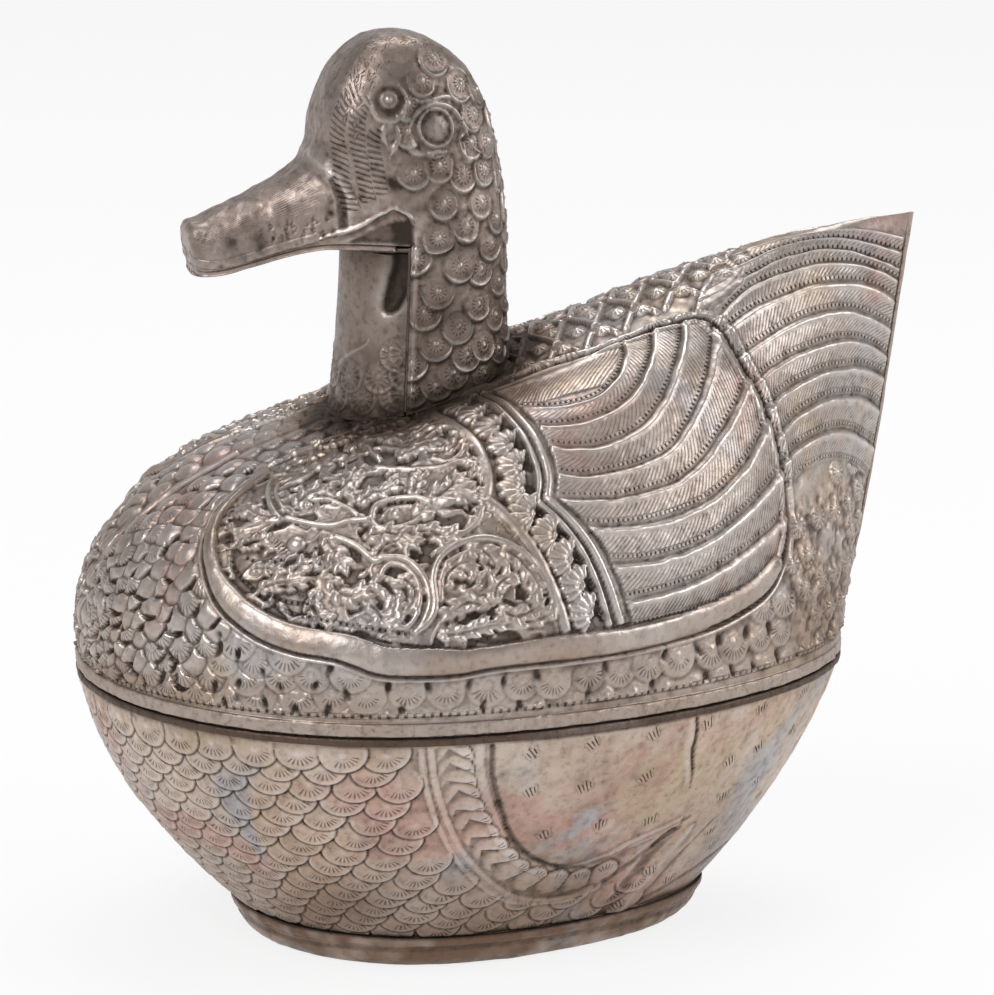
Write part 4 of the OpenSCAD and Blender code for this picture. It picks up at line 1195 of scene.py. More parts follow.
# struck dots inside the border and beside the stems
lid.stitches(lid.curve([(.270, .27), (.266, .33), (.2635, .40), (.264, .48), (.270, .55),
                        (.284, .61), (.306, .672), (.335, .715), (.37, .742), (.41, .768),
                        (.445, .79)]), 0.42, 1.0, 0.14)
for pts in ([(350, 470), (330, 510), (345, 560), (330, 600)], [(135, 500), (190, 520), (250, 510)],
            [(200, 610), (250, 630), (300, 640)], [(320, 620), (330, 680), (380, 720)],
            [(560, 345), (600, 338), (650, 342)]):
    lid.stitches(lid.photo(wing_px(pts)), 0.42, 1.0, 0.12)
lid.punch(wing_at(238, 470), 5, 0.62, 1.6, turn=60)

lid.H += in_foliage * bumps(lid.P, (0.08, 1.6, 16), (0.025, 0.8, 17))
lid.dark += in_foliage * 0.10 * soft(-0.12, -0.32, lid.H)

# scalloped band of palmettes
band_zone = np.concatenate([dense(SCALLOP_IN[0]), dense(SCALLOP_IN[1]), [(.60, .838)],
                            dense(SCALLOP_OUT[1][::-1]), dense(SCALLOP_OUT[0][::-1]),
                            [(.51, .173)]])
in_band = inside(band_zone, U, V)
lid.ground(in_band, -0.30 + 0.12 * noise(lid.P, 1.1, 8))


def palmette(q, turn):
    """Fan of rounded fingers, 26 degrees apart, that opens to the right of its foot."""
    r = 3.3
    sl, a, b = lid.spot(q, r * 1.6, turn)
    a = a + 0.6 * r
    rr, ang = np.hypot(a, b), np.degrees(np.arctan2(b, a))
    finger = np.abs(cosd(180 * ang / 26))
    tip = r * (1.20 + 0.16 * finger - 0.0035 * np.abs(ang))
    fan = (0.42 + 0.30 * finger ** 0.6) * soft(0.05, 0.5, rr / r) \
        * np.sqrt(np.maximum(1 - (rr / tip) ** 5, 0))
    boss = 0.72 * np.sqrt(np.maximum(1 - (rr / (0.30 * r)) ** 2, 0))
    on = (rr < tip) & (np.abs(ang) < 80) & in_band[sl]
    lid.H[sl] = np.where(on, np.maximum(lid.H[sl], np.maximum(fan, boss) - 0.03), lid.H[sl])


mid_band = [((a[0] + b[0]) / 2, (a[1] + b[1]) / 2) for a, b in
            zip(dense(SCALLOP_IN[0] + SCALLOP_IN[1][1:], 8),
                dense(SCALLOP_OUT[0] + SCALLOP_OUT[1][1:], 7))]
for y in (282, 336, 392, 446, 500, 552, 604, 656, 708, 760, 812):
    v = tail_uv([(0, y)])[0][1]
    u = np.interp(v, [p[1] for p in mid_band], [p[0] for p in mid_band])
    palmette(lid.ij(u - 0.003, v), 180 + (38 if v < .5 else 28))
    pit(lid, lid.ij(u + 0.013, v + 0.014), 0.6, 1.4, 0.65, 40, 0.7)
    pit(lid, lid.ij(u - 0.012, v + 0.030), 0.3, 0.8, 0.4, 20, 0.35)
for part in SCALLOP_IN:
    lid.bead(lid.curve(part), 1.0, 0.60, "over")
    for off in (-0.0075, 0.0075):
        lid.bead(lid.curve([(s + off, v) for s, v in part]), 0.26, 0.16)
for part in SCALLOP_OUT:
    for off in (-0.0062, 0.0032):
        lid.bead(lid.curve([(s + off, v) for s, v in part]), 0.6, 0.45, "over")
    lid.bead(lid.curve([(s + 0.0105, v) for s, v in part]), 0.35, -0.08, dark=0.1)

# feathers of wing and tail
feathers = np.concatenate([dense(SCALLOP_OUT[0]), dense(SCALLOP_OUT[1]), dense(IN_EDGE[17:]),
                           dense(REAR_LINE), dense(TOP_LINE[:7])])
in_feathers = inside([(s + (0.012 if s < .63 and v > .16 and v < .84 else 0), v)
                      for s, v in feathers], U, V)
WING_LINES = [
    [(230, 262), (300, 262), (400, 275), (470, 285), (520, 290)],
    [(250, 358), (300, 385), (350, 405), (400, 415), (440, 410), (480, 385), (510, 340),
     (520, 300)],
    [(275, 425), (330, 450), (400, 462), (460, 455), (510, 430), (550, 390), (575, 345),
     (587, 305)],
    [(290, 480), (340, 505), (400, 520), (460, 520), (520, 500), (575, 455), (610, 410),
     (640, 360), (655, 315)],
    [(295, 545), (350, 568), (420, 580), (490, 583), (550, 570), (610, 525), (650, 480),
     (690, 420), (716, 360)],
    [(290, 595), (340, 612), (400, 628), (470, 635), (540, 635), (600, 615), (650, 585),
     (700, 550), (750, 500)],
    [(320, 655), (380, 675), (450, 688), (530, 692), (600, 685), (660, 665), (710, 640),
     (775, 590)],
    [(360, 735), (430, 750), (500, 755), (570, 750), (640, 735), (700, 718), (790, 685)],
    [(385, 810), (450, 812), (520, 810), (600, 800), (680, 785), (790, 762)],
    [(400, 862), (500, 862), (600, 858), (700, 850), (780, 830)]]
TAIL_LINES = [
    [(800, 120), (900, 130), (1000, 160), (1100, 210), (1200, 290)],
    [(815, 200), (900, 185), (960, 190), (1010, 208), (1060, 240), (1110, 280), (1200, 345)],
    [(812, 262), (900, 243), (960, 247), (1010, 262), (1060, 292), (1110, 332), (1200, 395)],
    [(740, 345), (815, 300), (900, 295), (980, 305), (1060, 335), (1130, 375), (1200, 425)],
    [(725, 392), (780, 370), (850, 362), (930, 362), (1000, 372), (1070, 395), (1140, 430),
     (1200, 472)],
    [(735, 464), (800, 450), (870, 440), (940, 437), (1010, 447), (1080, 470), (1150, 505),
     (1200, 532)],
    [(745, 528), (810, 512), (880, 505), (950, 508), (1020, 515), (1090, 535), (1160, 565),
     (1200, 587)],
    [(765, 582), (830, 565), (900, 560), (970, 562), (1040, 575), (1110, 590), (1200, 622)],
    [(775, 637), (840, 620), (910, 612), (980, 615), (1050, 628), (1120, 645), (1200, 677)],
    [(785, 681), (850, 668), (920, 665), (990, 672), (1060, 690), (1130, 715), (1200, 737)],
    [(795, 726), (850, 715), (900, 712), (960, 718), (1030, 735), (1120, 765), (1200, 792)]]


HATCH, DOTS = 0.82, 0.85                # mm from one struck line, or dot, to the next


def plumes(lines, zone, height):
    """Low rounded feathers between neighbouring lines, hatched aslant over their lower part."""
    reach = 9.0
    rows = [lid.field(lid.curve(tail_uv(line)), reach) for line in lines]
    z = zone.ravel()
    h, hatch, phase = lid.H.ravel(), lid.hatch.ravel(), lid.phase.ravel()
    for (d0, s0, side0), (d1, _, side1) in zip(rows[:-1], rows[1:]):
        w = z & (side0 > 0) & (d0 < reach) & ((side1 < 0) | (d1 >= reach))
        p = sheet_p[w]
        t = d0[w] / np.maximum(d0[w] + d1[w], 1e-6)
        t = np.clip(t + 0.035 * noise(p, 2.2, 12), 0, 1)
        body = sind(90 * np.clip(t / 0.20, 0, 1)) \
            * (1 - 0.62 * np.clip((t - 0.2) / 0.8, 0, 1) ** 1.4 - 0.20 * t ** 8)
        crest = np.exp(-((t - 0.15) / 0.085) ** 2)
        h[w] = height * (0.72 * body + 0.36 * crest) - 0.04 \
            + bumps(p, (0.08, 2.4, 9), (0.05, 0.9, 10))
        hatch[w] = 0.72 * soft(0.24, 0.36, t) * (1 - soft(0.88, 0.95, t)) \
            * (0.75 + 0.25 * soft(-.3, .3, noise(p, 4.0, 18)))
        phase[w] = (s0[w] + d0[w]) / HATCH + 0.12 * noise(p, 1.5, 19)
    for line in lines[1:]:
        q = lid.curve(tail_uv(line))
        hit, d, _, _, _ = lid.trace(q, 0.45)
        keep = z[hit]
        lid.blacken(hit[keep], 0.16 * soft(0.4, 0.05, d[keep]))
        q[:, 1] -= 0.85 / CELL
        hit, d, along_it, _, _ = lid.trace(q, 0.38)
        keep = z[hit] & (along_it > 0.8)
        hit, d, along_it = hit[keep], d[keep], along_it[keep]
        hatch[hit] = soft(0.38, 0.15, d)
        phase[hit] = along_it / DOTS
        h[hit] -= 0.08 * soft(0.38, 0, d) * (np.sin(2 * np.pi * along_it / DOTS) > 0)


tail_top = np.concatenate([dense(REAR_LINE[::-1]), [(.815, .72)], tail_low,
                           [(1.001, .79), (1.001, -.01), (.80, -.01),
                            (.795, .12), (.78, .2)]])
in_tail = inside(tail_top, U, V) & ~in_wing
plumes(WING_LINES, in_feathers, 0.58)
plumes(TAIL_LINES, in_tail, 0.56)
# line behind the wing: a narrow dark groove between bright edges
for off in (-0.009, 0.009):
    lid.bead(lid.curve([(s + off, v + (0.005 if v > .8 else 0) * np.sign(off))
                        for s, v in REAR_LINE[:-1]]), 0.6, 0.35)
lid.bead(lid.curve(OUT_FRONT[16:]), 0.42, -0.5, dark=0.45)
lid.bead(lid.curve(TOP_LINE), 0.4, -0.3, dark=0.3)
lid.bead(lid.curve([(s, v - 0.014) for s, v in TOP_LINE]), 0.5, 0.35)
lid.bead(lid.curve([(s, v + 0.012) for s, v in TOP_LINE[:7]]), 0.45, 0.3)

# medallions over the back
back = np.concatenate([dense([(s, v - 0.02) for s, v in TOP_LINE]),
                       [(.30, .0), (.30, -.01), (.80, -.01), (.79, .12)]])
in_back = inside(back, U, V)
lid.ground(in_back, -0.2 + 0.12 * noise(lid.P, 1.1, 11))
for u0 in np.arange(0.575, 0.80, 0.043):
    for a0, a1 in (((u0, -.01), (u0 + .03, .175)), ((u0 + .035, -.01), (u0 - .005, .175))):
        lid.bead(lid.curve([a0, ((a0[0] + a1[0]) / 2, .09), a1]), 0.55, 0.5, "max")
    for du, dv in ((.0215, .03), (.0215, .13), (.0, .085), (.043, .085)):
        q = lid.ij(u0 + du - 0.004, dv)
        lid.scale(q, 1.6, rise=0.45, drop=0.1, dot=0.3, ring=0.12, fan=0.8, rays=1.6, full=181)
for u0 in np.arange(0.31, 0.56, 0.026):
    for v0 in (0.03, 0.09):
        q = lid.ij(u0 + (0.013 if v0 > .05 else 0), v0)
        lid.scale(q, 1.9, turn=-20 + rng.uniform(-15, 15), rise=0.45, drop=0.7, dot=0.2, fan=0.6,
                  rays=2.0)
# rim: plain hem under a row of struck dots
HEM = 0.984                             # v at which the plain hem starts
lid.H = np.where(V > HEM, 0.04 + bumps(lid.P, (0.10, 2.5, 13), (0.05, 1.1, 28)), lid.H)
lid.hatch = np.where(V > HEM - 0.006, 0, lid.hatch)
lid.dark = np.where(V > HEM - 0.004, 0, lid.dark)
lid.stitches(lid.curve([(s, HEM - 0.003) for s in np.linspace(0.0, 1.0, 40)]), 0.5, 1.35, 0.12)
# the sheet's edges and its pole stay as they are in the solid
lid.H *= soft(1.0, 0.99, V) * soft(0, 4, np.arange(NS)[:, None]) \
    * soft(NS - 1, NS - 4, np.arange(NS)[:, None])
lid.crust()
# painted shade: a dark ring round the foot of the neck, where the neck shades the lid
e = np.hypot((lid.P[..., 0] + neck_x) / (neck_foot_len / 2), lid.P[..., 1] / (neck_foot_w / 2))
near_neck = (lid.P[..., 2] > 62)
lid.oxide_and_shade = np.clip(lid.oxide_and_shade
                  + near_neck * 0.95 * (1 - soft(1.08, 1.55, e + 0.06 * noise(lid.P, 2.5, 21))), 0,
                  1)
# painted shade: a wider brown ring round the neck's foot; the rest is random stains and a browner
# tone towards the lower edge, over the tail's lower part, the breast and the foliage ground
lid.stain_and_shade = np.clip(1.2 * lid.stain_and_shade + near_neck * 0.9
                   * (1 - soft(1.1, 2.0, e + 0.15 * noise(lid.P, 6.0, 22)))
                   + 0.18 * soft(0.4, -0.2, noise(lid.P, 14.0, 23)) + 0.42 * soft(.84, .92, V)
                   + 0.25 * soft(.79, .82, U) * soft(.70, .76, V) + 0.22 * soft(.28, .2, U)
                   + 0.12 * in_foliage, 0, 1)


def lid_inner(s, v):
    """Inner face of the lid; at the rear its edge is cut plumb, to meet the tail's strip."""
    p = lid_point(s, v, sheet)
    q = lid_plain(np.ones_like(s), v)
    w = soft(0.985, 1.0, s) * (s > 0.99)
    p[..., 0] += w * (q[..., 0] - 0.3 * (q[..., 2] - p[..., 2]) - p[..., 0])
    return p


pin = lid_inner(*np.meshgrid(lid.us, lid.vs[::9], indexing="ij"))
pin[0] = pin[0, -1] * [1, 0, 1]
bag, _, _ = closed_sheet(lid, pin, shared=(UPPER,), poles=((0, (0, 0)),),
                         rims=((LOWER, LOWER, True), (np.s_[-1, ::9], -1, False)))
bag.make("lid_raised", m_lid, "lid", "silver", ("lid_shell",))

# ---------------------------------------------------------------- the bowl
NK, NR = int(172 / STEP), int(46 / STEP) // 3 * 3 + 1
bowl = Skin(lambda k, w: bowl_point(1 - w, k), np.linspace(0, 1, NK), np.linspace(0, 1, NR))
bowl.N[[0, -1], :, 1] = 0
bowl.N = unit(bowl.N)
bowl.H += bumps(bowl.P, (0.07, 6.0, 30), (0.05, 2.6, 31), (0.02, 1.2, 32))
# scales over the front, lowest row first
rows = []
for n in range(15):
    w = 0.045 + 0.068 * n
    tilt = min(max(n - 1.5, 0) * 0.12, 0.62)
    pitch = 0.0475 + 0.0006 * n
    for m in range(-1, 17):
        k = 0.010 + pitch * (m + 0.5 * (n % 2))
        rows.append((k + rng.uniform(-.0025, .0025), w + tilt * max(k - 0.24, 0)
                     + rng.uniform(-.006, .006), n))
front_line = bowl_uv([(700, -20), (700, 100), (705, 180), (715, 260), (730, 340), (755, 420),
                      (790, 500), (830, 560), (880, 590), (940, 595), (985, 570)])
front = dense(front_line)
for k, w, n in sorted(rows, key=lambda r: -r[1]):
    edge = np.interp(w, front[:130, 1], front[:130, 0])
    if w > 0.8:
        edge = 0.75
    if k < -0.01 or k > edge - 0.012 or w > 0.985:
        continue
    q = bowl.ij(max(k, 0), w)
    bowl.scale(q, 3.75 if n else 4.0, turn=-14 * k / 0.4 + rng.uniform(-8, 8),
               rise=rng.uniform(0.28, 0.42), drop=0.9, squash=rng.uniform(0.8, 0.95),
               fan=rng.uniform(0.8, 1.0), rays=rng.uniform(2.8, 3.6), lip=0.12, fan_in=0.30,
               fan_out=0.62, full=rng.uniform(48, 66), base=rng.uniform(-0.07, 0.03),
               dot=0.1 if n else 0.3, cut=0.13)
# curved band of leaves and the smooth thigh
thigh = bowl_uv([(790, -20), (790, 100), (800, 200), (815, 300), (835, 370), (865, 430),
                 (900, 465), (940, 475), (985, 455), (1020, 420), (1060, 395), (1100, 370)])
band = np.concatenate([dense(front_line), dense(thigh)[::-1]])
in_leaf_band = inside(band, bowl.U, bowl.V)
bowl.H = np.where(in_leaf_band, -0.02 + 0.06 * noise(bowl.P, 1.5, 33), bowl.H)
bowl.hatch = np.where(in_leaf_band, 0, bowl.hatch)
thigh_zone = np.concatenate([dense(thigh), [(.9, .3), (.9, -.1), (.53, -.1)]])
in_thigh = inside(thigh_zone, bowl.U, bowl.V)
near_thigh = bowl.field(bowl.curve(thigh), 6.0)[0].reshape(bowl.U.shape)
swell = 1 - (1 - np.clip(near_thigh / 5.9, 0, 1)) ** 1.6
bowl.H = np.where(in_thigh, 0.32 * swell * soft(.78, .62, bowl.U)
                  + bumps(bowl.P, (0.08, 6.0, 34), (0.05, 2.4, 35)), bowl.H)
for x0, y0, turn in ((745, 40, 25), (745, 85, 20), (747, 130, 15), (750, 175, 12), (757, 222, 8),
                     (766, 270, 0), (778, 318, -5), (792, 366, -10), (810, 412, -20),
                     (830, 458, -30), (862, 498, -45), (900, 522, -70), (942, 532, -90),
                     (985, 520, -105)):
    k, w = bowl_uv([(x0, y0)])[0]
    q = bowl.ij(k, max(w, 0))
    bowl.scale(q, 2.7, turn=turn - 75 + rng.uniform(-18, 18), rise=rng.uniform(0.6, 0.85),
               drop=0.9, squash=1.1, fan=1.0, rays=3.0, fan_in=0.35, fan_out=0.75, full=50,
               base=-0.05, cut=0.12)
for off in (-6, 8):
    bowl.bead(bowl.curve([(k + off * 0.00065, w) for k, w in front_line]), 0.7, 0.22)
bowl.bead(bowl.curve(front_line), 0.4, -0.12, dark=0.08)
bowl.bead(bowl.curve(thigh), 0.5, -0.10, dark=0.16)
bowl.bead(bowl.curve([(k - 0.011, w + (0.012 if w > .5 else 0)) for k, w in thigh]), 1.1, 0.24)
crease_px = bowl_uv([(1035, -10), (1042, 60), (1046, 130), (1058, 200), (1065, 260)])
bowl.blade(bowl.curve(crease_px), 0.7, -0.28, foot=1.0, sharp=1.0, how="add")
bowl.bead(bowl.curve(crease_px[:4]), 0.35, -0.05, dark=0.3)
bowl.blade(bowl.curve([(k - 0.006, w) for k, w in crease_px]), 1.3, 0.14, foot=1.0, sharp=1.2,
           how="add")
# leg and the plain rear
leg = bowl_uv([(1035, 720), (1040, 620), (1050, 540), (1062, 470), (1080, 400)])
leg2 = bowl_uv([(1108, 720), (1112, 640), (1122, 560), (1138, 480), (1160, 400)])
bowl.bead(bowl.curve(leg), 1.5, -0.16, dark=0.22)
bowl.blade(bowl.curve([(k + 0.024, w) for k, w in leg]), 4.6, 0.5, foot=1.0, sharp=1.5, how="add")
bowl.blade(bowl.curve([(k + 0.004, w) for k, w in leg2]), 1.6, -0.22, foot=1.0, sharp=1.2,
           how="add")
bowl.bead(bowl.curve(bowl_uv([(1110, 690), (1180, 640), (1260, 600), (1340, 560)])), 0.8, -0.16,
          dark=0.14)
bowl.bead(bowl.curve(bowl_uv([(990, 560), (1030, 500), (1060, 440), (1090, 395)])), 0.9, -0.16,
          dark=0.2)
bowl.hatch *= 1 - in_thigh
for x0, y0 in ((835, 30), (905, 20), (980, 20), (1055, 20), (838, 160), (905, 165), (985, 165),
               (865, 320), (940, 310), (1020, 330), (1075, 530), (1055, 650), (1145, 20),
               (1240, 20), (1120, 180), (1175, 160), (1260, 150), (1150, 310), (1180, 450),
               (1230, 300), (1290, 380), (1330, 220), (1350, 60), (1410, 150), (1440, 320),
               (1230, 520), (1380, 480), (1460, 60), (1160, 600), (1300, 640), (1400, 620)):
    bowl.punch(bowl.ij(*bowl_uv([(x0, y0 + 14)])[0]), int(rng.integers(3, 5)) + 1, 0.62, 2.1,
               turn=-28 + rng.uniform(-16, 16), level=1.3)
bowl.fade_edges(0.7, 0.7)
bowl.H += bumps(bowl.P, (0.05, 2.2, 38), (0.03, 0.9, 39))
bowl.crust(gain=2.6, grime=0.22)
# painted shade: the bowl grows darker towards the crease below it and along the crease line itself;
# random stains and a darker strip just under the mouth come with it
bowl.stain_and_shade = np.clip(0.06 + 0.70 * soft(0.42, 1.05, bowl.V + 0.12 * noise(bowl.P, 12.0, 36))
                    + 0.24 * noise(bowl.P, 9.0, 37)
                    + 0.25 * soft(0.05, 0.0, bowl.V), 0, 0.9)
bowl.oxide_and_shade = np.clip(bowl.oxide_and_shade + 0.35 * soft(0.95, 1.0, bowl.V), 0, 1)

Ui, Vi = np.meshgrid(bowl.us, bowl.vs[::3], indexing="ij")
pin = bowl_point(1 - Vi, Ui, sheet * (1.35 - 0.35 * (1 - Vi)))
bag, _, _ = closed_sheet(bowl, pin, shared=(0, -1),
                         rims=((LOWER, LOWER, True), (UPPER, UPPER, False)))
bag.make("bowl_chased", m_bowl, "base", "silver", ("bowl",))

# ---------------------------------------------------------------- the foot
foot = Skin(lambda k, w: foot_point(1 - w, k), np.linspace(0, 1, int(130 / STEP)),
            np.linspace(0, 1, int(9 / STEP)))
foot.N[[0, -1], :, 1] = 0
foot.N = unit(foot.N)
foot.H += bumps(foot.P, (0.16, 7.0, 40), (0.10, 2.6, 41), (0.05, 1.2, 44))
foot.bead(foot.curve([(k, 0.16) for k in np.linspace(0, 1, 30)]), 0.7, 0.2)
foot.bead(foot.curve([(k, 0.42 + 0.05 * np.sin(9 * k)) for k in np.linspace(0, 1, 30)]), 0.6, -0.12)
foot.fade_edges(0.5, 0.6)
foot.crust(gain=2.6)
# the foot's brown tarnish, deepened with painted shade, and painted shade under the crease and
# along the floor
foot.stain_and_shade = np.clip(0.94 + bumps(foot.P, (0.25, 8.0, 42), (0.3, 2.5, 43)), 0.1, 1)
foot.oxide_and_shade = np.clip(foot.oxide_and_shade + 0.5 * soft(0.12, 0.0, foot.V) + 0.3 * soft(0.85, 1.0, foot.V), 0, 1)
Ui, Vi = np.meshgrid(foot.us, np.linspace(0, 1, 12), indexing="ij")
pin = foot_point(1 - Vi, Ui, sheet + foot_out * (1 - Vi), sheet)
bag, outer, inner = closed_sheet(foot, pin, shared=(0, -1), rims=((UPPER, UPPER, False),))
# the pan's flat bottom, in rings towards its middle
for (near, far), d, flip in ((outer, 0, True), (inner, sheet, False)):
    edge = foot_point(0 * foot.us, foot.us, d, d)
    near, far = near[LOWER], far[LOWER]
    for f in (0.9, 0.6, 0.3, 0.02):
        a, b = grids(bag, edge * [f, f, 1], None, shared=(0, -1))
        bag.strip(near, a, flip=flip)
        bag.strip(far, b, flip=not flip)
        near, far = a, b
bag.make("foot_raised", m_bowl, "base", "silver", ("foot_pan",))


# ---------------------------------------------------------------- rings along the mouth
def ring(name, profile, mat, body, node, wobble=0.0, seed=0):
    """Closed ring; its profile goes round the section as (inset from the mouth line, height)."""
    s = np.linspace(0, 1, 700)
    lines = [(mouth(s, d), z) for d, z in profile]
    p = np.stack([np.stack([x, -y, z + 0 * x], -1) for (x, y), z in lines], 1)
    n = unit(np.gradient(p[:, 0], axis=0))
    out = np.stack([n[:, 1], -n[:, 0], 0 * n[:, 0]], -1)
    out[[0, -1], 1] = 0
    w = wobble * (noise(p, 2.0, seed) + 0.5 * noise(p, 0.9, seed + 1))
    outer = np.array([abs(d + rim_out) < 0.3 for d, _ in profile])
    p = p + out[:, None] * (w * outer)[..., None]
    bag = Bag()
    for ids, flip in zip(grids(bag, p, None, shared=(0, -1)), (False, True)):
        bag.quads(np.concatenate([ids, ids[:, :1]], 1), flip)
    bag.make(name, mat, body, "silver_plain", (node,))


def rounded(d0, d1, z0, z1, r):
    """Section of a ring with rounded outer corners; d0 is its outer face."""
    turns = np.linspace(0, 90, 5)
    low = [(d0 + r - r * sind(t), z0 + r - r * cosd(t)) for t in turns]
    high = [(d0 + r - r * cosd(t), z1 - r + r * sind(t)) for t in turns]
    return low + high + [(d1, z1), (d1, z0)]


ring("rim_band", rounded(-rim_out, sheet, band_z, lid_z, 0.35), m_rim, "lid", "lid_rim_band", 0.20,
     50)
ring("bearing_wire", rounded(-rim_out, collar_in, mouth_z - wire_h, mouth_z, 0.4), m_wire, "base",
     "base_rim_wire", 0.12, 52)
ring("collar", rounded(collar_in, collar_in + sheet, mouth_z - wire_h, mouth_z + collar_h, 0.3),
     m_in, "base", "inner_collar")

# strip along the rear edge of the tail
steps = 160
v = np.linspace(1, 0, steps)
e = lid_plain(np.ones(steps), v)
half = np.abs(e[:, 1]) + strip_lap
form = [(0, 1), (0.35, 1.0), (0.62, 0.86), (0.8, 0.5), (0.85, 0), (0.8, -0.5), (0.62, -0.86),
        (0.35, -1.0), (0, -1)]
p = np.stack([np.stack([e[:, 0] + f * sheet, -g * half, e[:, 2]], -1) for f, g in form], 1)
p[..., 0] += 0.08 * noise(p, 3.0, 60) * np.array([0, 0, 1, 1, 1, 1, 1, 0, 0])
bag = Bag()
ids = bag.points(p)
bag.quads(np.concatenate([ids, ids[:, :1]], 1), flip=True)
for row, way in ((ids[0], -1), (ids[-1], 1)):
    for k in range(1, len(form) - 2):
        bag.f.append(row[[[0, k, k + 1, k + 1]]][:, ::way])
bag.make("tail_strip", m_rim, "lid", "silver_plain", ("tail_edge_strip",))

# ---------------------------------------------------------------- head and neck
def on_head(u, v):
    """Whether the shell is there: below the bill's edge it starts at the end of the jaw."""
    return (u >= jaw_share - 1e-9) | (v <= 1)


vs = np.concatenate([np.linspace(0, 1, int(41 / STEP)), 1 + np.linspace(0, 1, int(29 / STEP))[1:]])
head = Skin(head_point, np.linspace(0, 1, int(118 / STEP)), vs, on_head)
head.N[:, 0, 1] = 0
head.N[-1, :, 1] = 0
head.N = unit(head.N)
head.H += bumps(head.P, (0.12, 3.5, 70), (0.09, 1.6, 71), (0.045, 0.8, 76))


def head_at(x, y):
    """Grid place of the head at one of its pixels."""
    return head.seen(*head_px([(x, y)])[0])


# bill: fine lines along it, a soft bright fold at its root, stains near the tip
bill = (head.U < 0.40) & (head.V <= 1)
head.hatch = np.where(bill, 0.42 * soft(0.06, 0.12, head.U) * (1 - soft(0.33, 0.38, head.U))
                      * soft(0.72, 0.55, head.V)
                      * soft(-0.3, 0.3, noise(head.P, 3.0, 72) + 0.15), head.hatch)
head.phase = np.where(bill, head.V * 36 + 0.25 * noise(head.P, 5.0, 73), head.phase)
head.blade(head.curve([(.385, 0), (.388, .15), (.396, .30), (.406, .45), (.416, .60),
                       (.424, .72)]), 2.4, 0.42, foot=1.0,
           sharp=1.3, how="add")
head.bead(head.photo(head_px([(455, 440), (480, 500), (488, 560), (490, 600)])), 0.9, -0.25,
          dark=0.25)
head.bead(head.curve([(.03, .5), (.05, .8), (.12, .93), (.25, .94), (.36, .93)]), 0.7, 0.15)
# stains: pixel, radius, darkness
for x0, y0, r, dark in ((158, 640, 1.3, .55), (240, 625, 1.5, .5), (245, 655, .9, .4),
                        (450, 550, .9, .4), (40, 690, .9, .3), (125, 712, .6, .35),
                        (60, 645, 1.6, .2), (190, 680, 1.2, .35), (455, 515, .7, .35),
                        (330, 560, 1.6, .15)):
    sl, a, b = head.spot(head_at(x0, y0), 3 * r)
    f = np.exp(-(a ** 2 + b ** 2) / r ** 2)
    head.H[sl] -= 0.22 * f * min(dark * 2, 1)
    head.blacken(sl, dark * f)
# scratches under the cheek
for _ in range(34):
    x0, y0 = rng.uniform(255, 460), rng.uniform(585, 650)
    y0 -= 0.16 * (x0 - 255)
    if y0 < 560:
        continue
    q = head_at(x0, y0)
    ang = np.radians(rng.uniform(0, 360))
    line = head.local(q, [(0, 0), (0.6 * np.cos(ang), 0.6 * np.sin(ang)),
                          (0.5 * np.cos(ang + 1.2), 0.9 * np.sin(ang + 1.2))])
    head.bead(along(line, np.linspace(0, 1, 8)), 0.25, -0.10, dark=0.04)
# cheek: short struck lines in three columns
for pts, wide, lean in (([(545, 160), (505, 200), (478, 260), (470, 330), (482, 400), (490, 470),
                          (520, 550)], 1.5, 0.5),
                        ([(560, 200), (535, 250), (530, 320), (545, 400), (560, 470), (575, 520)],
                         1.5, 0.5),
                        ([(590, 290), (580, 340), (590, 400), (600, 460), (610, 500)], 1.2, 0.4)):
    hit, d, s, side, ln = head.trace(head.photo(head_px(pts)), wide)
    head.hatch.ravel()[hit] = 0.9 * soft(wide, wide * 0.75, d) * soft(0, 0.5, np.minimum(s, ln - s))
    head.phase.ravel()[hit] = (s + lean * d * side) / 0.95
sl, a, b = head.spot(head_at(640, 462), 4.5)
f = np.exp(-(a / 1.0) ** 2 - (b / 1.8) ** 2)
head.H[sl] -= 0.35 * f
head.blacken(sl, 0.45 * f)

# scales of head and neck: those the photograph shows, and the same kind over the rest
shown = ((725, 150), (775, 405), (700, 430), (850, 435), (790, 520), (905, 515), (775, 622),
         (860, 590), (935, 640), (840, 705), (775, 782), (895, 822), (955, 750), (835, 890),
         (768, 940), (860, 975), (910, 945), (820, 1030), (770, 1065), (880, 250), (925, 330),
         (915, 415), (840, 160), (735, 850), (950, 560))
APART = 3.95                            # least mm between scales that aren't read off
spots = []


def set_spot(p, q, apart=APART):
    """Scale at place p in space and q on the grid, unless another stands too near."""
    if min([9.0] + [float(np.linalg.norm(p - other)) for other, _ in spots]) > apart:
        spots.append((p, q))


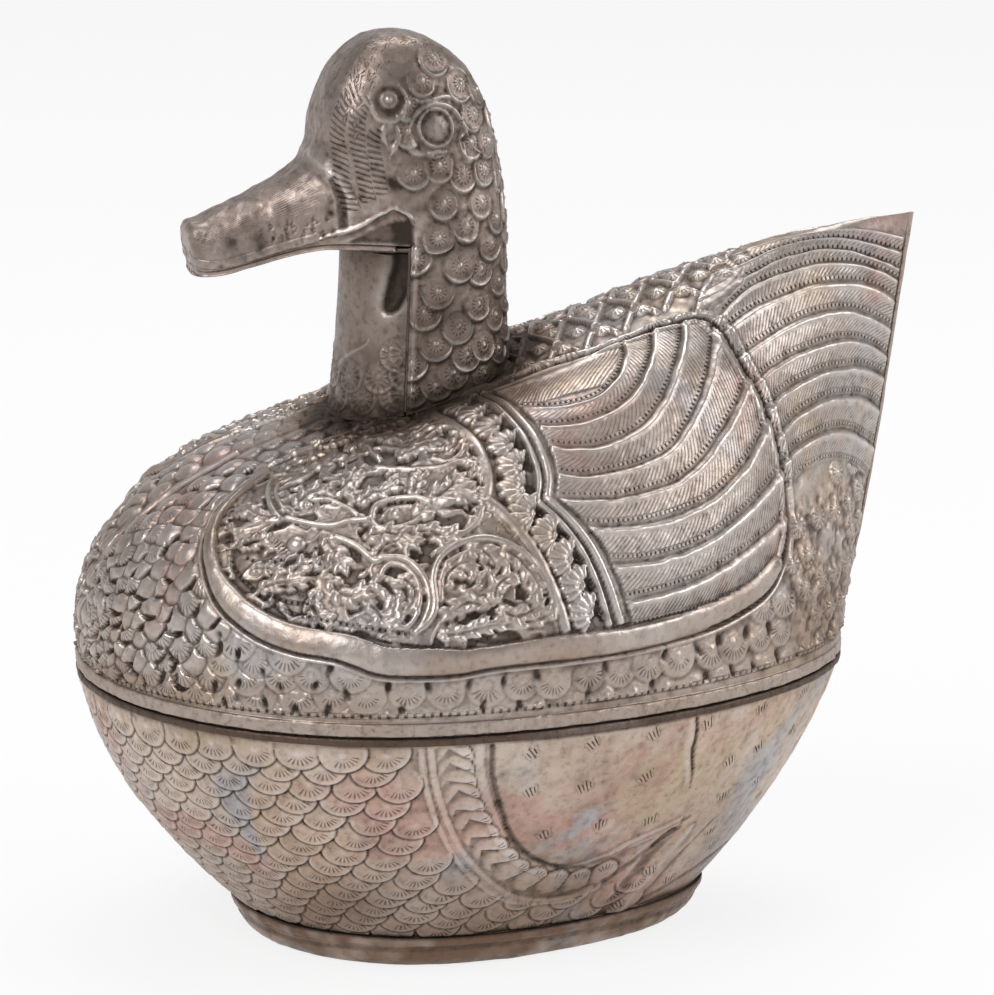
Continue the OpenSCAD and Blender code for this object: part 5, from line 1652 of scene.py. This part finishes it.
for x0, y0 in shown:
    k = head_at(x0, y0)
    set_spot(head.at(k), k, apart=-1)
for row, z in enumerate(np.arange(143.0, 85.0, -1.1)):
    for m in range(-22, 23):
        x = -5.8 + (m + 0.5 * (row % 2)) * 1.2
        seen = head.live & (head.N[..., 1] < -0.05)
        d = (head.P[..., 0] - x) ** 2 + (head.P[..., 2] - z) ** 2 + np.where(seen, 0, 1e9)
        k = np.unravel_index(np.argmin(d), d.shape)
        if d[k] > 0.3:
            continue
        u, v = head.us[k[0]], head.vs[k[1]]
        if v <= 1 and (u < 0.60 or v < np.interp(u, [.60, .66, .74, .84, 1],
                                                 [.62, .36, .24, .16, .1])):
            continue
        if v > 1 and u < jaw_share + 0.012:
            continue
        set_spot(head.P[k], np.array(k, float))
for v in np.arange(0.24, 1.95, 0.04):
    for u in (0.90, 0.93, 0.965, 0.992):
        q = head.ij(u, v + 0.02 * (u > .95))
        set_spot(head.at(q), q)
for p, q in sorted(spots, key=lambda r: r[0][2]):
    head.scale(q, rng.uniform(2.5, 2.8), turn=rng.uniform(-10, 10), rise=0.16, drop=0.6, lip=0.06,
               dot=0.34, ring=0.10, fan=0.6, rays=2.0, fan_in=0.24, fan_out=0.48,
               full=rng.uniform(120, 178), base=-0.08, disc=True)
    # painted shadow: a dark crescent just outside the lower edge of each scale, with no groove
    # under it
    sl, a, b = head.spot(q, 3.4, rng.uniform(-20, 20))
    head.blacken(sl, 0.36 * np.exp(-((np.hypot(a, b) - 2.95) / 0.4) ** 2) * (b > -1))
    r, wide = rng.uniform(2.25, 2.7), rng.uniform(58, 92)
    lip = head.local(q, arc(r, np.linspace(-wide, wide, 7)))
    if lip.min() > 2 and (lip[:, 0] < len(head.us) - 3).all():
        head.blade(along(lip, np.linspace(0, 1, 30)), 0.6, rng.uniform(0.28, 0.46), foot=0.2,
                   sharp=0.9)
# eye in its ring, under a brow that runs back from the cheek
q = head_at(768, 292)
sl, a, b = head.spot(q, 6.5)
rr = np.hypot(a, b)
w = 1 - soft(4.0, 4.6, rr)
eye = 0.34 * np.maximum(1 - (rr / 2.1) ** 2.2, 0) ** 0.9 \
    + 0.34 * np.exp(-((rr - 2.9) / 0.26) ** 2) \
    - 0.10 * np.exp(-((rr - 2.6) / 0.3) ** 2) - 0.03 + 0.05 * noise(head.P[sl], 1.4, 77)
head.H[sl] = head.H[sl] * (1 - w) + eye * w
head.hatch[sl] *= 1 - w
head.blacken(sl, 0.12 * np.exp(-((rr - 2.65) / 0.35) ** 2))
for pts in ([(672, 335), (690, 290), (715, 245), (765, 222), (820, 240), (850, 290), (880, 350),
             (925, 385)],
            [(690, 200), (720, 212), (760, 205), (800, 200), (840, 215), (850, 240)],
            [(665, 340), (700, 365), (740, 372), (800, 365)],
            [(850, 340), (860, 390), (885, 385), (900, 380)]):
    head.blade(head.photo(head_px(pts)), 0.65, 0.34, foot=0.3, sharp=0.9)
# lesser ring beside the brow and a chain of small bosses under it
q = head_at(628, 208)
sl, a, b = head.spot(q, 4.2)
rr = np.hypot(a, b)
w = 1 - soft(2.4, 2.9, rr)
ringed = 0.28 * np.exp(-(rr / 0.45) ** 2) + 0.14 * np.exp(-((rr - 1.1) / 0.2) ** 2) \
    - 0.15 * np.exp(-((rr - 1.9) / 0.7) ** 2)
head.H[sl] = head.H[sl] * (1 - w) + ringed * w
head.blacken(sl, 0.42 * np.exp(-((rr - 1.7) / 0.8) ** 2))
head.hatch[sl] *= 1 - w
for pts in ([(572, 215), (580, 250), (605, 270), (650, 272), (678, 235), (675, 195), (655, 165)],
            [(615, 280), (610, 320), (625, 350)], [(650, 285), (655, 320), (645, 350), (630, 385)]):
    head.blade(head.photo(head_px(pts)), 0.6, 0.26, foot=0.3, sharp=0.9)
for x0, y0 in ((632, 292), (632, 322), (640, 352), (690, 340)):
    sl, a, b = head.spot(head_at(x0, y0), 1.6)
    head.H[sl] += 0.24 * np.exp(-(a ** 2 + b ** 2) / 0.45)
# jaw ridge with its edge that turns down to the seam, and the hollow under it
under = inside(head_px([(480, 658), (496, 645), (540, 621), (600, 592), (650, 575), (702, 571),
                        (702, 700), (470, 700)]), head.px, head.py) & (head.V > 0.6) & (head.V <= 1)
smooth = blur(under.astype(float), 0.5 / STEP, 0.5 / STEP)
head.H = head.H * (1 - smooth) - 0.42 * smooth
head.hatch *= 1 - smooth
head.dark *= 1 - smooth
facet = inside(head_px([(470, 632), (531, 602), (587, 570), (644, 542), (700, 570), (650, 574),
                        (600, 590), (540, 619)]),
               head.px, head.py) & (head.V > 0.6)
facet = blur(facet.astype(float), 0.4 / STEP, 0.4 / STEP)
head.H -= 0.22 * facet
head.hatch *= 1 - facet
jaw = head_px([(420, 626), (470, 611), (531, 593), (587, 562), (625, 542), (655, 532)])
head.blade(head.photo(jaw), 0.75, 0.34, foot=0.3, sharp=1.0, how="add")
head.bead(head.photo(head_px([(645, 536), (668, 545), (690, 562), (700, 590)])), 0.36, 0.22)
# crown: sparse struck dashes, thicker towards the rear
for _ in range(190):
    u, v = rng.uniform(.50, .84), rng.uniform(0.0, .46)
    if v > np.interp(u, [.50, .6, .7, .84], [.46, .34, .2, .16]):
        continue
    head.punch(head.ij(u, v), 1, 0.6, rng.uniform(0.8, 1.4), turn=70 + rng.uniform(-35, 35))
head.H = head.H * np.where(head.V > 1.5, soft(2.0, 1.97, head.V), 1.0)
head.H *= np.where(head.V <= 1, np.where(head.U < jaw_share, soft(1.0, 0.975, head.V), 1), 1)
head.H *= soft(0, 5, np.arange(len(head.us))[:, None])
skirt = head.H * soft(jaw_share, jaw_share + 0.006, head.U) \
    + 0.30 * np.exp(-((head.U - jaw_share - .018) / 0.010) ** 2)
head.H = np.where(head.V > 1, skirt, head.H)
head.crust(gain=2.8, grime=0.36 * np.where(head.U < 0.42, 0.5, 1.0))
# painted shade: darker down the neck towards its foot, under the jaw and on the facet below it; the
# bumps are random stains
head.stain_and_shade = np.clip(0.14 + 0.34 * soft(120, 105, head.P[..., 2])
                    + 0.28 * soft(100, 86, head.P[..., 2])
                    + bumps(head.P, (0.30, 7.0, 74), (0.16, 2.2, 78)) + 0.4 * smooth
                    + 0.25 * facet, 0, 0.9)
head.stain_and_shade *= 1 - (0.5 + 0.4 * soft(.8, .3, head.V)) * soft(0.42, 0.38, head.U) * (head.V <= 1)
# painted shade: the hollow beside the throat, where the plate stands off its seam, darkened on the
# head's sheet
hollow_px = head_px([(632, 585), (692, 575), (694, 640), (690, 720), (676, 790), (650, 838),
                     (618, 850), (606, 826), (618, 770), (640, 700), (640, 640)])
deep = blur((inside(hollow_px, head.px, head.py) & (head.V > 0.6) & (head.V <= 1)).astype(float),
            0.3 / STEP, 0.3 / STEP)
head.oxide_and_shade = np.clip(head.oxide_and_shade + 0.8 * deep, 0, 1)
# painted shade round the foot of the neck
head.oxide_and_shade = np.clip(head.oxide_and_shade + 0.9 * soft(1.85, 1.98, head.V + 0.02 * noise(head.P, 2.0, 75)), 0, 1)

hv = int(np.argmin(np.abs(head.vs - 1)))                     # row of the bill's and the jaw's edge
hu = int(np.argmax(head.us >= jaw_share - 1e-9))             # column of the jaw's end
bag, _, _ = closed_sheet(head, head_point(head.U, head.V, sheet), shared=(UPPER, -1),
                         poles=((0, (0, 0)), (np.s_[-1, :hv + 1], (-1, hv))), live=head.live,
                         rims=[(line, line, True) for line in (np.s_[:hu + 1, hv], np.s_[hu, hv:],
                                                               np.s_[hu:, -1])])
bag.make("head_raised", m_head, "lid", "silver", ("head_neck_shell",))

# ---------------------------------------------------------------- plates of throat and bill
DEG = 57.3                              # degrees in a radian
half_a = throat_angle - throat_gap / neck_w * 2 * DEG
top_z = jaw_z - sheet - floor_sag - seat_gap


def throat_point(u, v):
    """u from 0 at the near edge to 1 in the middle of the throat, v downwards."""
    a = half_a * (1 - u)
    foot = neck_foot_z(np.maximum(a[:, :1], 0.01))
    return neck_point(1 - v, a, foot, top_z)


thr = Skin(lambda u, v: throat_point(1 - u, v), np.linspace(0, 1, int(17 / STEP)),
           np.linspace(0, 1, int(29 / STEP)))
thr.N[0, :, 1] = 0
thr.N = unit(thr.N)
thr.H += bumps(thr.P, (0.08, 4.0, 80), (0.04, 1.5, 81))
for row, v in enumerate(np.arange(0.99, 0.5, -0.125)):
    for m in range(-1, 4):
        u = (m + 0.5 * (row % 2)) * 0.36
        if v < 0.60 + 0.12 * (1 - u):
            continue
        thr.scale(thr.ij(max(u, 0), v), 2.9, turn=rng.uniform(-25, 25), rise=0.2, drop=0.5,
                  lip=0.22, dot=0.25, ring=0.08, fan=0.4, rays=2.0, full=150, base=-0.12, disc=True)
thr.H += soft(.55, .7, thr.V) * bumps(thr.P, (0.12, 1.6, 84), (0.07, 0.8, 85))
thr.blade(thr.curve([(0.0, .72), (0.2, .66), (.38, .60), (.55, .55), (.6, .5)]), 0.9, 0.3,
          foot=0.3, sharp=1.0, how="add")
# the plate's upper edge stands off the neck seam, which leaves an open slit; painted shade darkens
# the slit and the plate towards the seam
deep = blur(inside(hollow_px, thr.px, thr.py).astype(float), 0.7 / STEP, 0.7 / STEP)
thr.H -= 1.7 * deep
thr.dark += 0.9 * soft(0.1, 0.7, deep) + 0.45 * soft(0.80, 1.0, thr.U)
thr.H *= soft(1.0, 0.97, thr.V)
thr.crust(grime=0.14)
# painted shade: darker under the jaw at the plate's top and towards the neck's foot at its bottom,
# with random stains
thr.stain_and_shade = np.clip(0.44 + 0.25 * soft(0.3, 0.0, thr.V) + 0.35 * soft(0.5, 1.0, thr.V)
                   + 0.2 * noise(thr.P, 6.0, 83), 0, 0.9)
thr.oxide_and_shade = np.clip(thr.oxide_and_shade + 0.85 * soft(0.85, 0.97, thr.V + 0.03 * noise(thr.P, 2.0, 82))
                  + 0.35 * soft(0.12, 0.0, thr.V), 0, 1)
bag, _, _ = closed_sheet(thr, thr.out() - thr.N * sheet, shared=(0,),
                         rims=((-1, -1, False), (LOWER, LOWER, True), (UPPER, UPPER, False)))
bag.make("throat_chased", m_head, "lid", "silver", ("throat_plate",))


def solder(name, path, radius, seed):
    """Uneven bead of solder along a line on the near side, and its mirror image."""
    path = along(path, np.linspace(0, 1, 160))
    t = unit(np.gradient(path, axis=0))
    n1 = unit(np.cross(t, np.array([0.3, -0.9, 0.2])))
    n2 = np.cross(t, n1)
    ang = np.linspace(0, 2 * np.pi, 11)
    around = n1[:, None] * np.cos(ang)[:, None] + n2[:, None] * np.sin(ang)[:, None]
    r = radius * (1 + 0.22 * noise(path, 1.6, seed) + 0.1 * noise(path, 0.8, seed + 1))
    near = path[:, None] + around * r[:, None, None]
    near[:, -1] = near[:, 0]
    bag = Bag()
    for p, flip in ((near, False), (mirrored(near), True)):
        ids = bag.points(p)
        ids[:, -1] = ids[:, 0]
        bag.quads(ids, flip=flip)
        for end, way in ((0, flip), (-1, not flip)):
            mid = bag.points(p[end, :-1].mean(0)[None])
            bag.strip(np.repeat(mid, len(ang)), ids[end], flip=not way)
    bag.make(name, m_solder, "lid", "silver")


seam_h = np.linspace(0.02, 0.99, 40)
seam_a = np.full(40, throat_angle - throat_gap / neck_w * DEG)
solder("seam_solder", neck_point(seam_h, seam_a, neck_foot_z(seam_a), jaw_z, 0.42), 0.36, 86)
top_a = np.linspace(throat_angle, 2.0, 40)
solder("chin_solder", neck_point(np.ones(40), top_a, top_z,
                                 top_z + 0.25 + 0.55 * soft(30, 68, top_a), 0.45), 0.5, 88)

# plate under the bill, from its upper face to its sagging lower one
e = head_edge(jaw_share * (0.04 + 0.93 * np.linspace(0, 1, 120)))
v = np.linspace(-1, 1, 24)
x, y, z = e[:, None, 0] + 0 * v, e[:, None, 1] * v, e[:, None, 2] + 0 * v
upper = np.stack([x, y, z - seat_gap / 2], -1)
lower = np.stack([x, y, z - sheet - floor_sag * (1 - v ** 2)], -1)
lower[..., 2] += 0.06 * noise(lower, 3.0, 85)
bag = Bag()
a, b = bag.points(upper), bag.points(lower)
bag.quads(a, flip=True)
bag.quads(b)
for line, flip in ((0, True), (-1, False), (UPPER, False), (LOWER, True)):
    bag.strip(a[line], b[line], flip=flip)
bag.make("bill_under", m_head, "lid", "silver", ("bill_floor",))

# ---------------------------------------------------------------- floor, light, camera
HALF = 6.0                              # m from the middle of the floor to its sides
SEEN, MIRRORED = 0.82, 0.72             # share of plain white in what the camera and the silver see
me = bpy.data.meshes.new("floor")
me.from_pydata([(-HALF, -HALF, 0), (HALF, -HALF, 0), (HALF, HALF, 0), (-HALF, HALF, 0)], [],
               [(0, 1, 2, 3)])
floor = bpy.data.objects.new("floor", me)
bpy.context.collection.objects.link(floor)
mat, t = nodes_of("floor_white")
g = Graph(t)
out = g.add("OutputMaterial")
diffuse = g.add("BsdfDiffuse")
diffuse.inputs["Color"].default_value = (0.86, 0.86, 0.86, 1)
glow = g.add("Emission")
glow.inputs["Strength"].default_value = 1.0
path = g.add("LightPath")
mirror = g.math("MAXIMUM", path.outputs["Is Glossy Ray"], path.outputs["Is Transmission Ray"])
share = g.math("MAXIMUM", g.times(path.outputs["Is Camera Ray"], SEEN), g.times(mirror, MIRRORED))
both = g.add("MixShader")
for k, v in enumerate((share, diffuse.outputs[0], glow.outputs[0])):
    g.link(v, both.inputs[k])
g.link(both.outputs[0], out.inputs[0])
me.materials.append(mat)

world = bpy.data.worlds.new("studio")
bpy.context.scene.world = world
world.use_nodes = True
t = world.node_tree
t.nodes.clear()
g = Graph(t)
out = g.add("OutputWorld")
bg = g.add("Background")
g.link(bg.outputs[0], out.inputs[0])
sep = g.add("SeparateXYZ")
g.link(g.add("TexCoord").outputs["Generated"], sep.inputs[0])
height = g.span(sep.outputs["Z"], 0.0, 0.7)
g.link(g.mix(height, (0.92, 0.92, 0.93, 1), (0.42, 0.42, 0.44, 1)), bg.inputs["Color"])
bg.inputs["Strength"].default_value = 0.8


def place(name, data, at, x, y, z):
    """Object of the given data at a place in m, with its axes along unit directions."""
    ob = bpy.data.objects.new(name, data)
    bpy.context.collection.objects.link(ob)
    m = np.eye(4)
    m[:3, 0], m[:3, 1], m[:3, 2], m[:3, 3] = x, y, z, at
    ob.matrix_world = Matrix(m.tolist())
    return ob


def lamp(name, at, size, watts):
    """Area lamp that looks at the middle of the duck."""
    li = bpy.data.lights.new(name, "AREA")
    li.shape = "RECTANGLE"
    li.size, li.size_y = size
    li.energy = watts
    z = unit(np.array(at) - np.array([0.0, 0.0, 0.07]))
    x = unit(np.cross([0, 0, 1], z))
    place(name, li, at, x, np.cross(z, x), z)


lamp("key", (-0.75, -0.6, 0.95), (0.7, 0.7), 8.0)
lamp("side", (0.9, -0.35, 0.55), (0.6, 0.7), 4.0)
lamp("top", (0.1, 0.4, 1.2), (0.8, 0.6), 6.0)

cam = bpy.data.cameras.new("camera")
cam.sensor_fit = "HORIZONTAL"
cam.sensor_width = 36.0
cam.lens = cam.sensor_width * DIST / (WIDE * PX)
cam.clip_start, cam.clip_end = 0.05, 30.0
bpy.context.scene.camera = place("camera", cam, EYE * 0.001, right_dir, up_dir, back_dir)
bpy.context.scene.view_settings.view_transform = "Standard"
